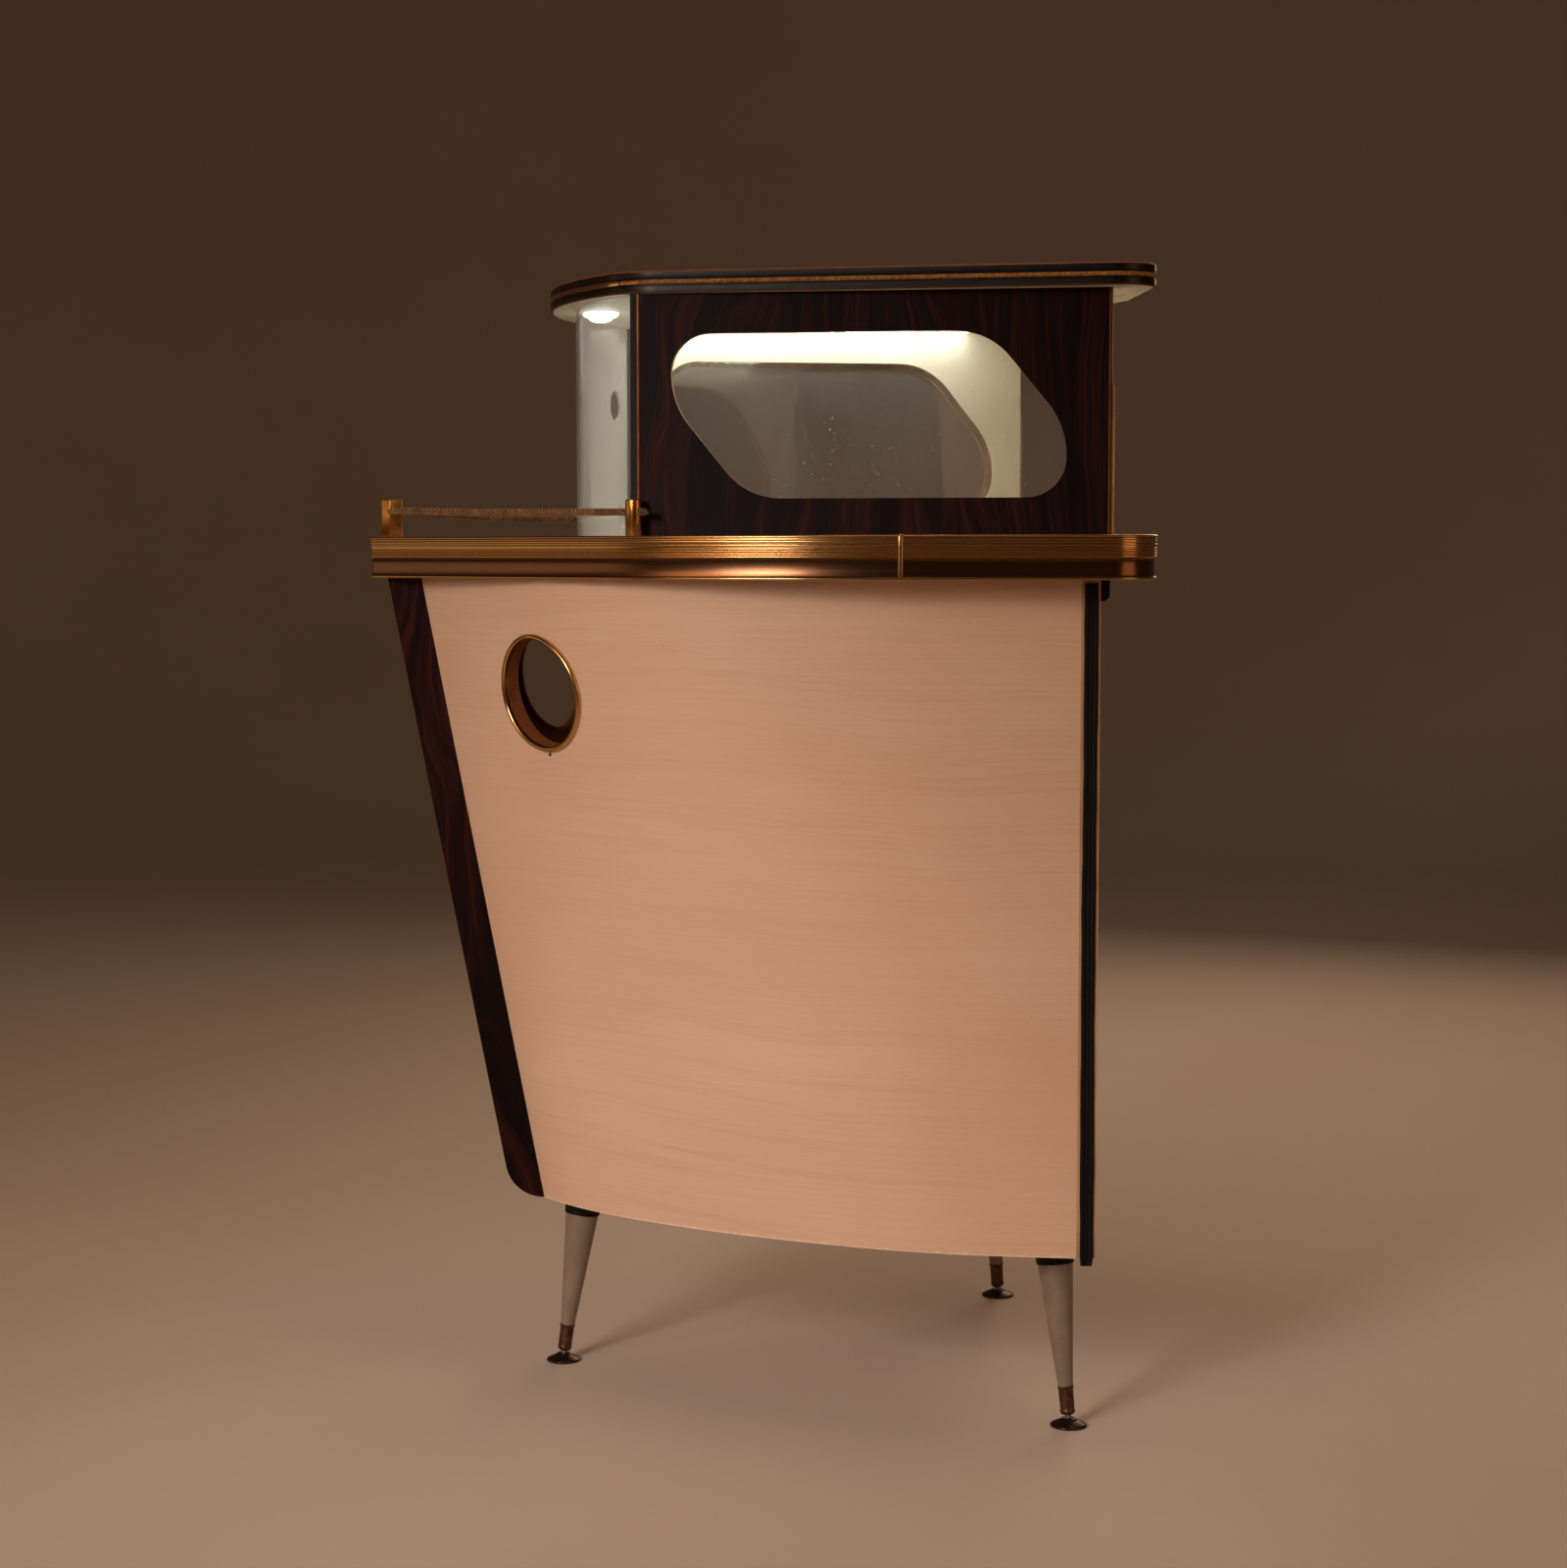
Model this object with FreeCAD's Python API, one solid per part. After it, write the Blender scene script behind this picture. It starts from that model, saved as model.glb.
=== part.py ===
import FreeCAD, Part
import math
import os

# Boat-shaped drinks cabinet with a counter, a glazed cabin above it and three
# splayed legs. Millimetres. Z up, origin on the floor under the middle of the
# overall box. The prow points to -X, the open serving side is at +X and the
# port side is at -Y.

os.makedirs("parts", exist_ok=True)
V = FreeCAD.Vector

# ---------------------------------------------------------------- dimensions
BOW_X = 431.0             # counter tip, ahead of the building origin
STERN_X = 440.0           # counter stern, behind it
SHIFT_X = -6.85           # brings the middle of the overall box onto the origin
COUNTER_TOP = 1000.0
TRIM_H = 47.0             # height of the metal counter edging
TRIM_T = 3.5
LAMINATE_T = 1.0
COUNTER_VERTEX = (-68.1, 421.2)   # where the two side lines of the counter meet
COUNTER_SIDE_R = 592.0
COUNTER_REAR_Y = 442.8
COUNTER_CORNER_R = 55.0
TIP_HALF = 14.0

HULL_Z0 = 206.0
HULL_Z1 = 953.0
HULL_T = 9.0
HULL_REAR_X = 363.0
STEM_HALF = 18.0
# outer plan line of the port panel at its bottom and at its top edge
HULL_BOTTOM = [(-228, 18), (-176, 92), (-100, 162), (0, 232), (95, 283), (185, 322), (275, 346), (363, 361)]
HULL_TOP = [(-370, 18), (-322, 84), (-268, 158), (-192, 250), (-62, 318), (92, 349), (238, 360), (363, 361)]
PAR = [0.0, 0.14, 0.30, 0.46, 0.61, 0.75, 0.88, 1.0]

STEM_FRONT_TOP = -410.0
STEM_FRONT_BOT = -266.8
STEM_TENON = 12.0
STEM_NOSE_R = 46.0

BATTEN_X = (363.0, 384.0)
BATTEN_Y = (325.0, 361.0)

PORT_X = -226.0           # porthole centre
PORT_Z = 823.5
PORT_R_CLEAR = 62.0
PORT_R_CUT = 66.0
PORT_R_OUT = 69.0
PORT_BEAD = 7.0
PORT_SEAT = 1.4           # the panel bulges a little beside the hole

CABIN_O = (-117.3, -277.0)     # front outer corner of the port wall
CABIN_ANGLE = 10.33            # outward angle of the wall, degrees
CABIN_LEN = 518.6
WALL_T = 9.0
LINER_T = 6.0
PANE_T = 2.0
CEILING_Z = 1266.2        # underside of the ceiling panel and of the edging
CEILING_T = 3.0
ROOF_Z1 = 1290.2
WINDOW = [((38.3, 1222), 43), ((38.3, 1146.5), 90), ((123.0, 1041.8), 78),
          ((470.3, 1041.8), 43), ((470.3, 1118.5), 90), ((385.6, 1222), 78)]
FAR_WINDOW_MOVE = (4.0, -2.5)    # the starboard cut-out sits a little further back and lower
LINER_MARGIN = 6.6

SCREEN_R = 593.0
SCREEN_X = -185.3
SCREEN_T = 4.0
SCREEN_HALF = 267.0
SCREEN_HOLE = (220.0, 1167.0, 19.0)

ROOF_POLY = [((-215.0, -132.7), 496.0), ((-131.3, -281.2), 82.0), ((440.0, -412.0), 45.0),
             ((444.0, -186.0), 50.0), ((410.0, -60.0), 200.0)]     # the stern edge has a shallow recess
BAND_T = 3.0
GOLD_Z = (1275.1, 1281.3)
GOLD_PROUD = 0.8

FEET = [("prow", -206.0, 0.0, -182.0, 0.0), ("port", 365.5, -300.0, 352.0, -280.0), ("starboard", 365.5, 300.0, 352.0, 280.0)]
LEG_TOP_Z = 186.0
LEG_R1, LEG_R2 = 20.5, 8.5
LEG_CONE_LEN = 142.0
FERRULE_LEN = 32.0
FERRULE_R1, FERRULE_R2 = 8.6, 7.6
PAD_R = 20.5
BALL_R, BALL_Z = 4.5, 6.2
SOCKET_R = 4.8
ROD_R = 2.7

WIRE_HOLE = (-101.1, 260.6, 3.5)    # place and radius of the hole under the trunking

PROW_POST = [(-418.5, 0.0), (-407.6, -8.5), (-392.9, -8.5), (-392.9, 8.5), (-407.6, 8.5)]
PROW_TOP = 1046.0
SIDE_POST = (-121.0, -291.0, 9.3)
SIDE_TOP = 1041.0
ROPE_D = 8.5
ROPE_START = (-407.5, -6.0, 1032.0)
ROPE_END = (-111.8, -301.4, 1027.6)
PORT_SAG = 1.0
STAR_SAG = 5.0


# ------------------------------------------------------------------- helpers
def box(x0, x1, y0, y1, z0, z1):
    return Part.makeBox(x1 - x0, y1 - y0, z1 - z0, V(x0, y0, z0))


def mirror(shape):
    return shape.mirror(V(0, 0, 0), V(0, 1, 0))


def solids(shape):
    s = shape.Solids
    if not s:
        raise RuntimeError("empty shape")
    return s[0] if len(s) == 1 else Part.makeCompound(s)


written = {}


def save(name, shape):
    s = solids(shape)
    for one in s.Solids:
        if not one.isValid():
            print("INVALID", name)
        if one.Volume <= 0:
            print("NEGATIVE", name)
    out = s.copy()
    out.translate(V(SHIFT_X, 0, 0))
    out.exportStep("parts/%s.step" % name)
    written[name] = s
    bb = s.BoundBox
    print("%-26s n=%d vol=%9.1f cm3 x %.1f..%.1f y %.1f..%.1f z %.1f..%.1f" % (
        name, len(s.Solids), s.Volume / 1000.0, bb.XMin, bb.XMax, bb.YMin, bb.YMax, bb.ZMin, bb.ZMax))


def inset(poly, d):
    """Moves every side of a convex polygon inwards by d (outwards if d < 0)."""
    pts = [p for p, r in poly]
    rad = [r for p, r in poly]
    n = len(pts)
    area = sum(pts[i][0] * pts[(i + 1) % n][1] - pts[(i + 1) % n][0] * pts[i][1] for i in range(n))
    sgn = 1.0 if area > 0 else -1.0
    lines = []
    for i in range(n):
        a, b = pts[i], pts[(i + 1) % n]
        dx, dy = b[0] - a[0], b[1] - a[1]
        l = math.hypot(dx, dy)
        nx, ny = -dy / l * sgn, dx / l * sgn
        lines.append((a[0] + nx * d, a[1] + ny * d, dx / l, dy / l))
    out = []
    for i in range(n):
        x1, y1, dx1, dy1 = lines[i - 1]
        x2, y2, dx2, dy2 = lines[i]
        det = dx1 * dy2 - dy1 * dx2
        t = ((x2 - x1) * dy2 - (y2 - y1) * dx2) / det
        out.append(((x1 + dx1 * t, y1 + dy1 * t), max(rad[i] - d, 0.0) if rad[i] > 0 else 0.0))
    return out


def rounded_wire(poly, at):
    """Closed wire of lines and tangent arcs. at(a, b) gives the 3-D point."""
    n = len(poly)
    segs = []
    for i in range(n):
        (px, py), r = poly[i]
        ax, ay = poly[i - 1][0]
        bx, by = poly[(i + 1) % n][0]
        if r <= 0:
            segs.append(((px, py), None, (px, py)))
            continue
        ux, uy = ax - px, ay - py
        wx, wy = bx - px, by - py
        lu, lw = math.hypot(ux, uy), math.hypot(wx, wy)
        ux, uy, wx, wy = ux / lu, uy / lu, wx / lw, wy / lw
        ang = math.acos(max(-1.0, min(1.0, ux * wx + uy * wy)))
        t = r / math.tan(ang / 2.0)
        hx, hy = ux + wx, uy + wy
        lh = math.hypot(hx, hy)
        k = r / math.sin(ang / 2.0) - r
        segs.append(((px + ux * t, py + uy * t), (px + hx / lh * k, py + hy / lh * k), (px + wx * t, py + wy * t)))
    edges = []
    for i in range(n):
        s, m, e = segs[i]
        if m is not None:
            edges.append(Part.Arc(at(*s), at(*m), at(*e)).toShape())
        nx = segs[(i + 1) % n][0]
        if math.hypot(nx[0] - e[0], nx[1] - e[1]) > 1e-4:
            edges.append(Part.LineSegment(at(*e), at(*nx)).toShape())
    return Part.Wire(edges)


def plate(poly, z0, z1):
    w = rounded_wire(poly, lambda a, b: V(a, b, z0))
    return Part.Face(w).extrude(V(0, 0, z1 - z0))


def both(half):
    """Closes a half outline given on the port side with its mirror image."""
    return half + [((x, -y), r) for (x, y), r in reversed(half)]


# ------------------------------------------------------------------- outlines
counter_poly = both([((-BOW_X, -TIP_HALF), 6.0), ((COUNTER_VERTEX[0], -COUNTER_VERTEX[1]), COUNTER_SIDE_R), ((STERN_X, -COUNTER_REAR_Y), COUNTER_CORNER_R)])
roof_poly = both(ROOF_POLY)

# ----------------------------------------------------------------------- hull


def curve(points, z, sign):
    c = Part.BSplineCurve()
    c.interpolate(Points=[V(x, sign * y, z) for x, y in points], Parameters=PAR)
    return c


def inward(points, d):
    """Plan points of the same line moved inwards by d, run past the rear."""
    c = curve(points, 0.0, 1.0)
    out = []
    for u in PAR:
        p = c.value(u)
        t = c.tangent(u)[0]
        out.append((p.x + t.y * d, p.y - t.x * d))
    t = c.tangent(1.0)[0]
    x, y = out[-1]
    out[-1] = (x + t.x * 8.0, y + t.y * 8.0)
    return out


def hull_body(bottom, top):
    wires = []
    for pts, z in ((bottom, HULL_Z0), (top, HULL_Z1)):
        near = curve(pts, z, -1.0)
        far = curve(pts, z, 1.0)
        far.reverse()
        a, b = V(pts[-1][0], -pts[-1][1], z), V(pts[-1][0], pts[-1][1], z)
        c, d = V(pts[0][0], pts[0][1], z), V(pts[0][0], -pts[0][1], z)
        wires.append(Part.Wire([near.toShape(), Part.LineSegment(a, b).toShape(), far.toShape(), Part.LineSegment(c, d).toShape()]))
    return Part.makeLoft(wires, True, True)


outer = hull_body(HULL_BOTTOM, HULL_TOP)
inner = hull_body(inward(HULL_BOTTOM, HULL_T), inward(HULL_TOP, HULL_T))
inner2 = hull_body(inward(HULL_BOTTOM, HULL_T + 20.0), inward(HULL_TOP, HULL_T + 20.0))
shell = outer.cut(inner)
panel = shell.common(box(-600, HULL_REAR_X, -600, -STEM_HALF, 0, 1200))

# porthole centre and outward normal on the ruled surface
cb, ct = curve(HULL_BOTTOM, HULL_Z0, -1.0), curve(HULL_TOP, HULL_Z1, -1.0)
k = (PORT_Z - HULL_Z0) / (HULL_Z1 - HULL_Z0)


def ruled(u, kk):
    a, b = cb.value(u), ct.value(u)
    return a + (b - a) * kk


lo, hi = 0.0, 1.0
for _ in range(60):
    mid = (lo + hi) / 2
    if ruled(mid, k).x < PORT_X:
        lo = mid
    else:
        hi = mid
pc = ruled(lo, k)
du = ruled(lo + 1e-4, k) - ruled(lo - 1e-4, k)
dv = ct.value(lo) - cb.value(lo)
nrm = du.cross(dv)
nrm.normalize()
if nrm.y > 0:
    nrm = nrm * -1.0
print("porthole centre", pc, "normal", nrm)

panel = panel.cut(Part.makeCylinder(PORT_R_CUT, 80.0, pc - nrm * 40.0, nrm))
save("hull_panel_port", panel)
save("hull_panel_starboard", mirror(panel))

# ring: a sleeve in the hole and a round bead outside, turned about the normal
prof = [V(PORT_R_CLEAR, 0, -16), V(PORT_R_CUT, 0, -16), V(PORT_R_CUT, 0, PORT_SEAT), V(PORT_R_OUT - 1.5, 0, PORT_SEAT)]
e = [Part.LineSegment(prof[0], prof[1]).toShape(), Part.LineSegment(prof[1], prof[2]).toShape(), Part.LineSegment(prof[2], prof[3]).toShape(),
     Part.Arc(V(PORT_R_OUT - 1.5, 0, PORT_SEAT), V(PORT_R_OUT, 0, 3.2), V(PORT_R_OUT - 3.7, 0, PORT_BEAD)).toShape(),
     Part.Arc(V(PORT_R_OUT - 3.7, 0, PORT_BEAD), V(PORT_R_CLEAR + 0.6, 0, 5.0), V(PORT_R_CLEAR, 0, 1.5)).toShape(),
     Part.LineSegment(V(PORT_R_CLEAR, 0, 1.5), prof[0]).toShape()]
ring = Part.Face(Part.Wire(e)).revolve(V(0, 0, 0), V(0, 0, 1), 360)
if ring.Volume < 0:
    ring.reverse()
rot = FreeCAD.Rotation(V(0, 0, 1), nrm)
ring.Placement = FreeCAD.Placement(pc, rot)
save("porthole_ring_port", ring)
save("porthole_ring_starboard", mirror(ring))

# stem: raked keel board with a rounded heel
stem_poly = [((STEM_FRONT_TOP, HULL_Z1), 0), ((STEM_FRONT_BOT, HULL_Z0), STEM_NOSE_R),
             ((HULL_BOTTOM[0][0] + STEM_TENON, HULL_Z0), 0), ((HULL_TOP[0][0] + STEM_TENON, HULL_Z1), 0)]
w = rounded_wire(stem_poly, lambda a, b: V(a, -STEM_HALF, b))
stem = Part.Face(w).extrude(V(0, 2 * STEM_HALF, 0))
save("stem_post", stem)

slab = lambda z0, z1, x0, x1: box(x0, x1, -600, 600, z0, z1)
bottom = inner.common(slab(207, 225, -600, HULL_REAR_X)).cut(stem)
GLAND = (320.0, 190.0)
bottom = bottom.cut(Part.makeCylinder(8.0, 60, V(GLAND[0], GLAND[1], 190)))
save("bottom_board", bottom)
save("inner_shelf", inner.common(slab(560, 576, -130, 350)).cut(stem))
save("shelf_cleats", inner.common(slab(540, 560, 150, 345)).cut(inner2))
rails = inner.common(slab(929, 953, -60, HULL_REAR_X)).cut(inner2)
save("top_rails", rails.cut(Part.makeCylinder(WIRE_HOLE[2], 60, V(WIRE_HOLE[0], WIRE_HOLE[1], 910))))

batten = box(BATTEN_X[0], BATTEN_X[1], -BATTEN_Y[1], -BATTEN_Y[0], HULL_Z0, HULL_Z1)
save("rear_batten_port", batten)
save("rear_batten_starboard", mirror(batten))
seal = box(366.0, 381.5, -BATTEN_Y[1] - 3.2, -BATTEN_Y[1], 198.0, 949.0)
save("seal_strip_port", seal)
save("seal_strip_starboard", mirror(seal))

apron = box(384.0, 396.5, -345, 345, 929.0, 953.0)
low = [ed for ed in apron.Edges if abs(ed.CenterOfMass.z - 929.0) < 0.1 and abs(ed.CenterOfMass.x - 396.5) < 0.1 and ed.Length > 500]
apron = apron.makeFillet(8.0, low)
save("rear_apron_rail", apron)

# -------------------------------------------------------------------- counter
board = plate(inset(counter_poly, TRIM_T), COUNTER_TOP - TRIM_H + 2.0, COUNTER_TOP - LAMINATE_T)
# the edging's return leg lies under the board
board = board.cut(box(-500, 500, -500, 500, 900, COUNTER_TOP - TRIM_H + 2.0))
sub = plate(inset(counter_poly, TRIM_T + 10.0), COUNTER_TOP - TRIM_H, COUNTER_TOP - TRIM_H + 2.0)
board = board.fuse(sub).removeSplitter()
hole = Part.makeCylinder(WIRE_HOLE[2], 200, V(WIRE_HOLE[0], WIRE_HOLE[1], 850))
save("counter_board", board.cut(hole))
save("counter_laminate", plate(inset(counter_poly, TRIM_T), COUNTER_TOP - LAMINATE_T, COUNTER_TOP).cut(hole))
z0 = COUNTER_TOP - TRIM_H
trim = plate(counter_poly, z0, COUNTER_TOP).cut(plate(inset(counter_poly, TRIM_T), z0 + 2.0, COUNTER_TOP + 1)).cut(plate(inset(counter_poly, TRIM_T + 10.0), z0 - 1, z0 + 2.5))
save("counter_trim", trim)


def outline_at(poly, x):
    """Point and tangent on the port side of an outline at a given X."""
    w = rounded_wire(poly, lambda a, b: V(a, b, 0))
    best = None
    for ed in w.Edges:
        n = 400
        for i in range(n + 1):
            u = ed.FirstParameter + (ed.LastParameter - ed.FirstParameter) * i / n
            p = ed.valueAt(u)
            if p.y < 0 and (best is None or abs(p.x - x) < best[0]):
                t = ed.tangentAt(u)
                best = (abs(p.x - x), p, t if t.x > 0 else t * -1.0)
    return best[1], best[2]


p, t = outline_at(counter_poly, 160.0)
ang = math.degrees(math.atan2(t.y, t.x))
clip = box(-2.6, 2.6, -1.2, 0.0, z0 - 1.2, COUNTER_TOP + 1.2)
clip = clip.fuse(box(-2.6, 2.6, 0.0, 7.0, COUNTER_TOP, COUNTER_TOP + 1.2)).fuse(box(-2.6, 2.6, 0.0, 7.0, z0 - 1.2, z0)).removeSplitter()
clip.Placement = FreeCAD.Placement(V(p.x, p.y - 0.02, 0), FreeCAD.Rotation(V(0, 0, 1), ang))
save("trim_joint_clips", Part.makeCompound([clip, mirror(clip)]))

# ---------------------------------------------------------------------- cabin
ca, sa = math.cos(math.radians(CABIN_ANGLE)), math.sin(math.radians(CABIN_ANGLE))


def cab(s, w, z):
    """Port wall: s runs rearwards along it, w inwards from its outer face."""
    return V(CABIN_O[0] + s * ca + w * sa, CABIN_O[1] - s * sa + w * ca, z)


def cab_box(s0, s1, w0, w1, z0, z1):
    pts = [cab(s0, w0, z0), cab(s1, w0, z0), cab(s1, w1, z0), cab(s0, w1, z0)]
    return Part.Face(Part.makePolygon(pts + [pts[0]])).extrude(V(0, 0, z1 - z0))


def cab_prism(poly, w0, w1):
    w = rounded_wire(poly, lambda a, b: cab(a, w0, b))
    return Part.Face(w).extrude(cab(0, w1, 0) - cab(0, w0, 0))


def side_wall(window):
    """Wall, inner lining and clear pane round one window, for the port side."""
    wall = cab_box(0, CABIN_LEN, 0, WALL_T, COUNTER_TOP, CEILING_Z).cut(cab_prism(window, -5, WALL_T + 5))
    wide = inset(window, -LINER_MARGIN)
    liner = cab_box(0, CABIN_LEN, WALL_T, WALL_T + LINER_T, COUNTER_TOP, CEILING_Z).cut(cab_prism(wide, WALL_T - 1, WALL_T + LINER_T + 5))
    pane = cab_prism(inset(window, -LINER_MARGIN + 0.2), WALL_T, WALL_T + PANE_T)
    return wall, liner, pane


near_side = side_wall(WINDOW)
far_side = side_wall([((a + FAR_WINDOW_MOVE[0], b + FAR_WINDOW_MOVE[1]), r) for (a, b), r in WINDOW])
for what, a, b in zip(("cabin_side", "cabin_liner", "window_pane"), near_side, far_side):
    save(what + "_port", a)
    save(what + "_starboard", mirror(b))
strips = [cab_box(0.0, 4.0, -1.0, 0.0, COUNTER_TOP, CEILING_Z), cab_box(CABIN_LEN - 3.5, CABIN_LEN, -1.0, 0.0, COUNTER_TOP, CEILING_Z)]
save("cabin_edge_strips", Part.makeCompound(strips + [mirror(s) for s in strips]))
guard = cab_box(CABIN_LEN, CABIN_LEN + 3.0, 2.0, 13.0, COUNTER_TOP, 1163.0)
top = [ed for ed in guard.Edges if abs(ed.CenterOfMass.z - 1163.0) < 0.1]
gx = max(ed.CenterOfMass.x for ed in top)
guard = guard.makeFillet(2.6, [max(top, key=lambda ed: ed.CenterOfMass.x)])
save("rear_guard_battens", Part.makeCompound([guard, mirror(guard)]))

cx = SCREEN_X + SCREEN_R
screen = Part.makeCylinder(SCREEN_R, CEILING_Z - COUNTER_TOP, V(cx, 0, COUNTER_TOP)).cut(Part.makeCylinder(SCREEN_R - SCREEN_T, CEILING_Z - COUNTER_TOP + 2, V(cx, 0, COUNTER_TOP - 1)))
screen = screen.common(box(-300, 0, -SCREEN_HALF, SCREEN_HALF, COUNTER_TOP, CEILING_Z))
channel = cab_box(-7.0, 0.0, -0.5, WALL_T + LINER_T, COUNTER_TOP, CEILING_Z).cut(screen)
save("screen_channels", Part.makeCompound(channel.Solids + [mirror(s) for s in channel.Solids]))
hy, hz, hr = SCREEN_HOLE
th = math.asin(hy / SCREEN_R)
hp = V(cx - SCREEN_R * math.cos(th), SCREEN_R * math.sin(th), hz)
hn = V(-math.cos(th), math.sin(th), 0)
screen = screen.cut(Part.makeCylinder(hr, 40, hp - hn * 20, hn))
save("windscreen", screen)

# ----------------------------------------------------------------------- roof
LAMP = (-156.0, 0.0)
save("roof_board", plate(inset(roof_poly, BAND_T), CEILING_Z + CEILING_T, ROOF_Z1).cut(Part.makeCylinder(18.2, 14.2, V(LAMP[0], LAMP[1], CEILING_Z))))
ceiling = plate(inset(roof_poly, BAND_T), CEILING_Z, CEILING_Z + CEILING_T).cut(Part.makeCylinder(18.2, 40, V(LAMP[0], LAMP[1], 1240)))
save("roof_ceiling", ceiling)
save("roof_edge_band", plate(roof_poly, CEILING_Z, ROOF_Z1).cut(plate(inset(roof_poly, BAND_T), CEILING_Z - 1, ROOF_Z1 + 1)))
save("roof_gold_line", plate(inset(roof_poly, -GOLD_PROUD), GOLD_Z[0], GOLD_Z[1]).cut(plate(roof_poly, GOLD_Z[0] - 1, GOLD_Z[1] + 1)))

# ----------------------------------------------------------------- lighting
leds = cab_box(18.0, 440.0, 24.0 + WALL_T + LINER_T - 15.0, 34.0 + WALL_T + LINER_T - 15.0, CEILING_Z - 2.4, CEILING_Z)
save("led_strips", Part.makeCompound([leds, mirror(leds)]))
rim = Part.makeCylinder(21.0, 5.0, V(LAMP[0], LAMP[1], CEILING_Z - 5.0)).fuse(Part.makeCylinder(18.0, 14.0, V(LAMP[0], LAMP[1], CEILING_Z)))
rim = rim.cut(Part.makeCylinder(15.5, 16.0, V(LAMP[0], LAMP[1], CEILING_Z - 5.1))).removeSplitter()
save("downlight_rim", rim)
lens = Part.makeCylinder(15.3, 8.0, V(LAMP[0], LAMP[1], CEILING_Z - 5.0)).fuse(Part.makeCone(8.0, 15.3, 6.0, V(LAMP[0], LAMP[1], CEILING_Z - 11.0)))
save("downlight_lens", lens.removeSplitter())

# follows the inner face of the starboard wall
ti = mirror(cab_box(4.0, 22.0, WALL_T + LINER_T, WALL_T + LINER_T + 8.0, COUNTER_TOP, CEILING_Z))
hollow = mirror(cab_box(5.5, 20.5, WALL_T + LINER_T + 1.5, WALL_T + LINER_T + 6.5, COUNTER_TOP - 1, CEILING_Z + 1))
save("wire_trunking", ti.cut(hollow))
print("trunking centre", mirror(cab_box(4.0, 22.0, 15, 23, 1000, 1001)).CenterOfMass)

driver = box(215.0, 345.0, 250.0, 300.0, 925.0, 953.0)
SW = (345.0, 275.0, 939.0)
driver = driver.cut(box(SW[0] - 12.0, SW[0] + 1, SW[1] - 11.0, SW[1] + 11.0, SW[2] - 7.5, SW[2] + 7.5))
save("led_driver", driver)
# rocker rests with one end in; it turns about Z through its pivot
rk = Part.Face(Part.makePolygon([V(SW[0] - 9.0, SW[1] - 9.5, SW[2] - 6.8), V(SW[0] + 2.2, SW[1] - 9.5, SW[2] - 6.8), V(SW[0] + 0.4, SW[1], SW[2] - 6.8),
                                V(SW[0] - 0.2, SW[1] + 9.5, SW[2] - 6.8), V(SW[0] - 9.0, SW[1] + 9.5, SW[2] - 6.8), V(SW[0] - 9.0, SW[1] - 9.5, SW[2] - 6.8)])).extrude(V(0, 0, 13.6))
rk = rk.common(Part.makeCylinder(11.4, 40, V(SW[0] - 4.0, SW[1], SW[2] - 20)))
save("switch_rocker", rk)
gl = Part.makeCylinder(12.0, 6.0, V(GLAND[0], GLAND[1], 225)).fuse(Part.makeCylinder(7.9, 18.0, V(GLAND[0], GLAND[1], 207))).fuse(Part.makeCylinder(12.0, 7.0, V(GLAND[0], GLAND[1], 200)))
gl = gl.cut(Part.makeCylinder(4.0, 60, V(GLAND[0], GLAND[1], 190))).removeSplitter()
save("cable_gland", gl)

# ----------------------------------------------------------------------- legs
blocks, stems, screws = [], [], []
for name, fx, fy, tx, ty in FEET:
    ball = V(fx, fy, BALL_Z)
    top = V(tx, ty, LEG_TOP_Z)
    ax = ball - top
    ax.normalize()
    blk = Part.makeCylinder(22.0, 60.0, top - ax * 60.0, ax)
    blocks.append(blk.common(box(-600, 600, -600, 600, 150, 207)))
    cone = Part.makeCone(LEG_R1, LEG_R2, LEG_CONE_LEN, top, ax)
    save("leg_%s" % name, cone)
    fer0 = top + ax * LEG_CONE_LEN
    save("ferrule_%s" % name, Part.makeCone(FERRULE_R1, FERRULE_R2, FERRULE_LEN, fer0, ax))
    s0 = fer0 + ax * FERRULE_LEN
    rod = Part.makeCylinder(ROD_R, (ball - s0).Length, s0, ax).fuse(Part.makeSphere(BALL_R, ball))
    stems.append(rod.removeSplitter())
    pr = [V(0, 0, 0), V(PAD_R - 1.0, 0, 0), V(PAD_R, 0, 1.0), V(PAD_R, 0, 2.2)]
    es = [Part.LineSegment(pr[0], pr[1]).toShape(), Part.LineSegment(pr[1], pr[2]).toShape(), Part.LineSegment(pr[2], pr[3]).toShape(),
          Part.Arc(pr[3], V(PAD_R - 4.5, 0, 5.2), V(9.5, 0, 7.4)).toShape(),
          Part.LineSegment(V(9.5, 0, 7.4), V(8.2, 0, 9.4)).toShape(), Part.LineSegment(V(8.2, 0, 9.4), V(0, 0, 9.4)).toShape(),
          Part.LineSegment(V(0, 0, 9.4), V(0, 0, 0)).toShape()]
    pad = Part.Face(Part.Wire(es)).revolve(V(0, 0, 0), V(0, 0, 1), 360)
    if pad.Volume < 0:
        pad.reverse()
    pad = pad.cut(Part.makeSphere(SOCKET_R, V(0, 0, BALL_Z)))
    pad.translate(V(fx, fy, 0))
    save("foot_pad_%s" % name, pad)
    for i in range(2):
        a = math.radians(90.0 + 180.0 * i)
        screws.append(Part.makeCylinder(3.5, 3.0, V(tx - 12.0 * math.sin(a) - ax.x * 26, ty + 30.0 * math.cos(a) - ax.y * 26 + (27.0 if i else -27.0), 204.0)))
save("leg_blocks", Part.makeCompound(blocks))
save("glide_stems", Part.makeCompound(stems))
save("leg_screws", Part.makeCompound(screws))

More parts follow.
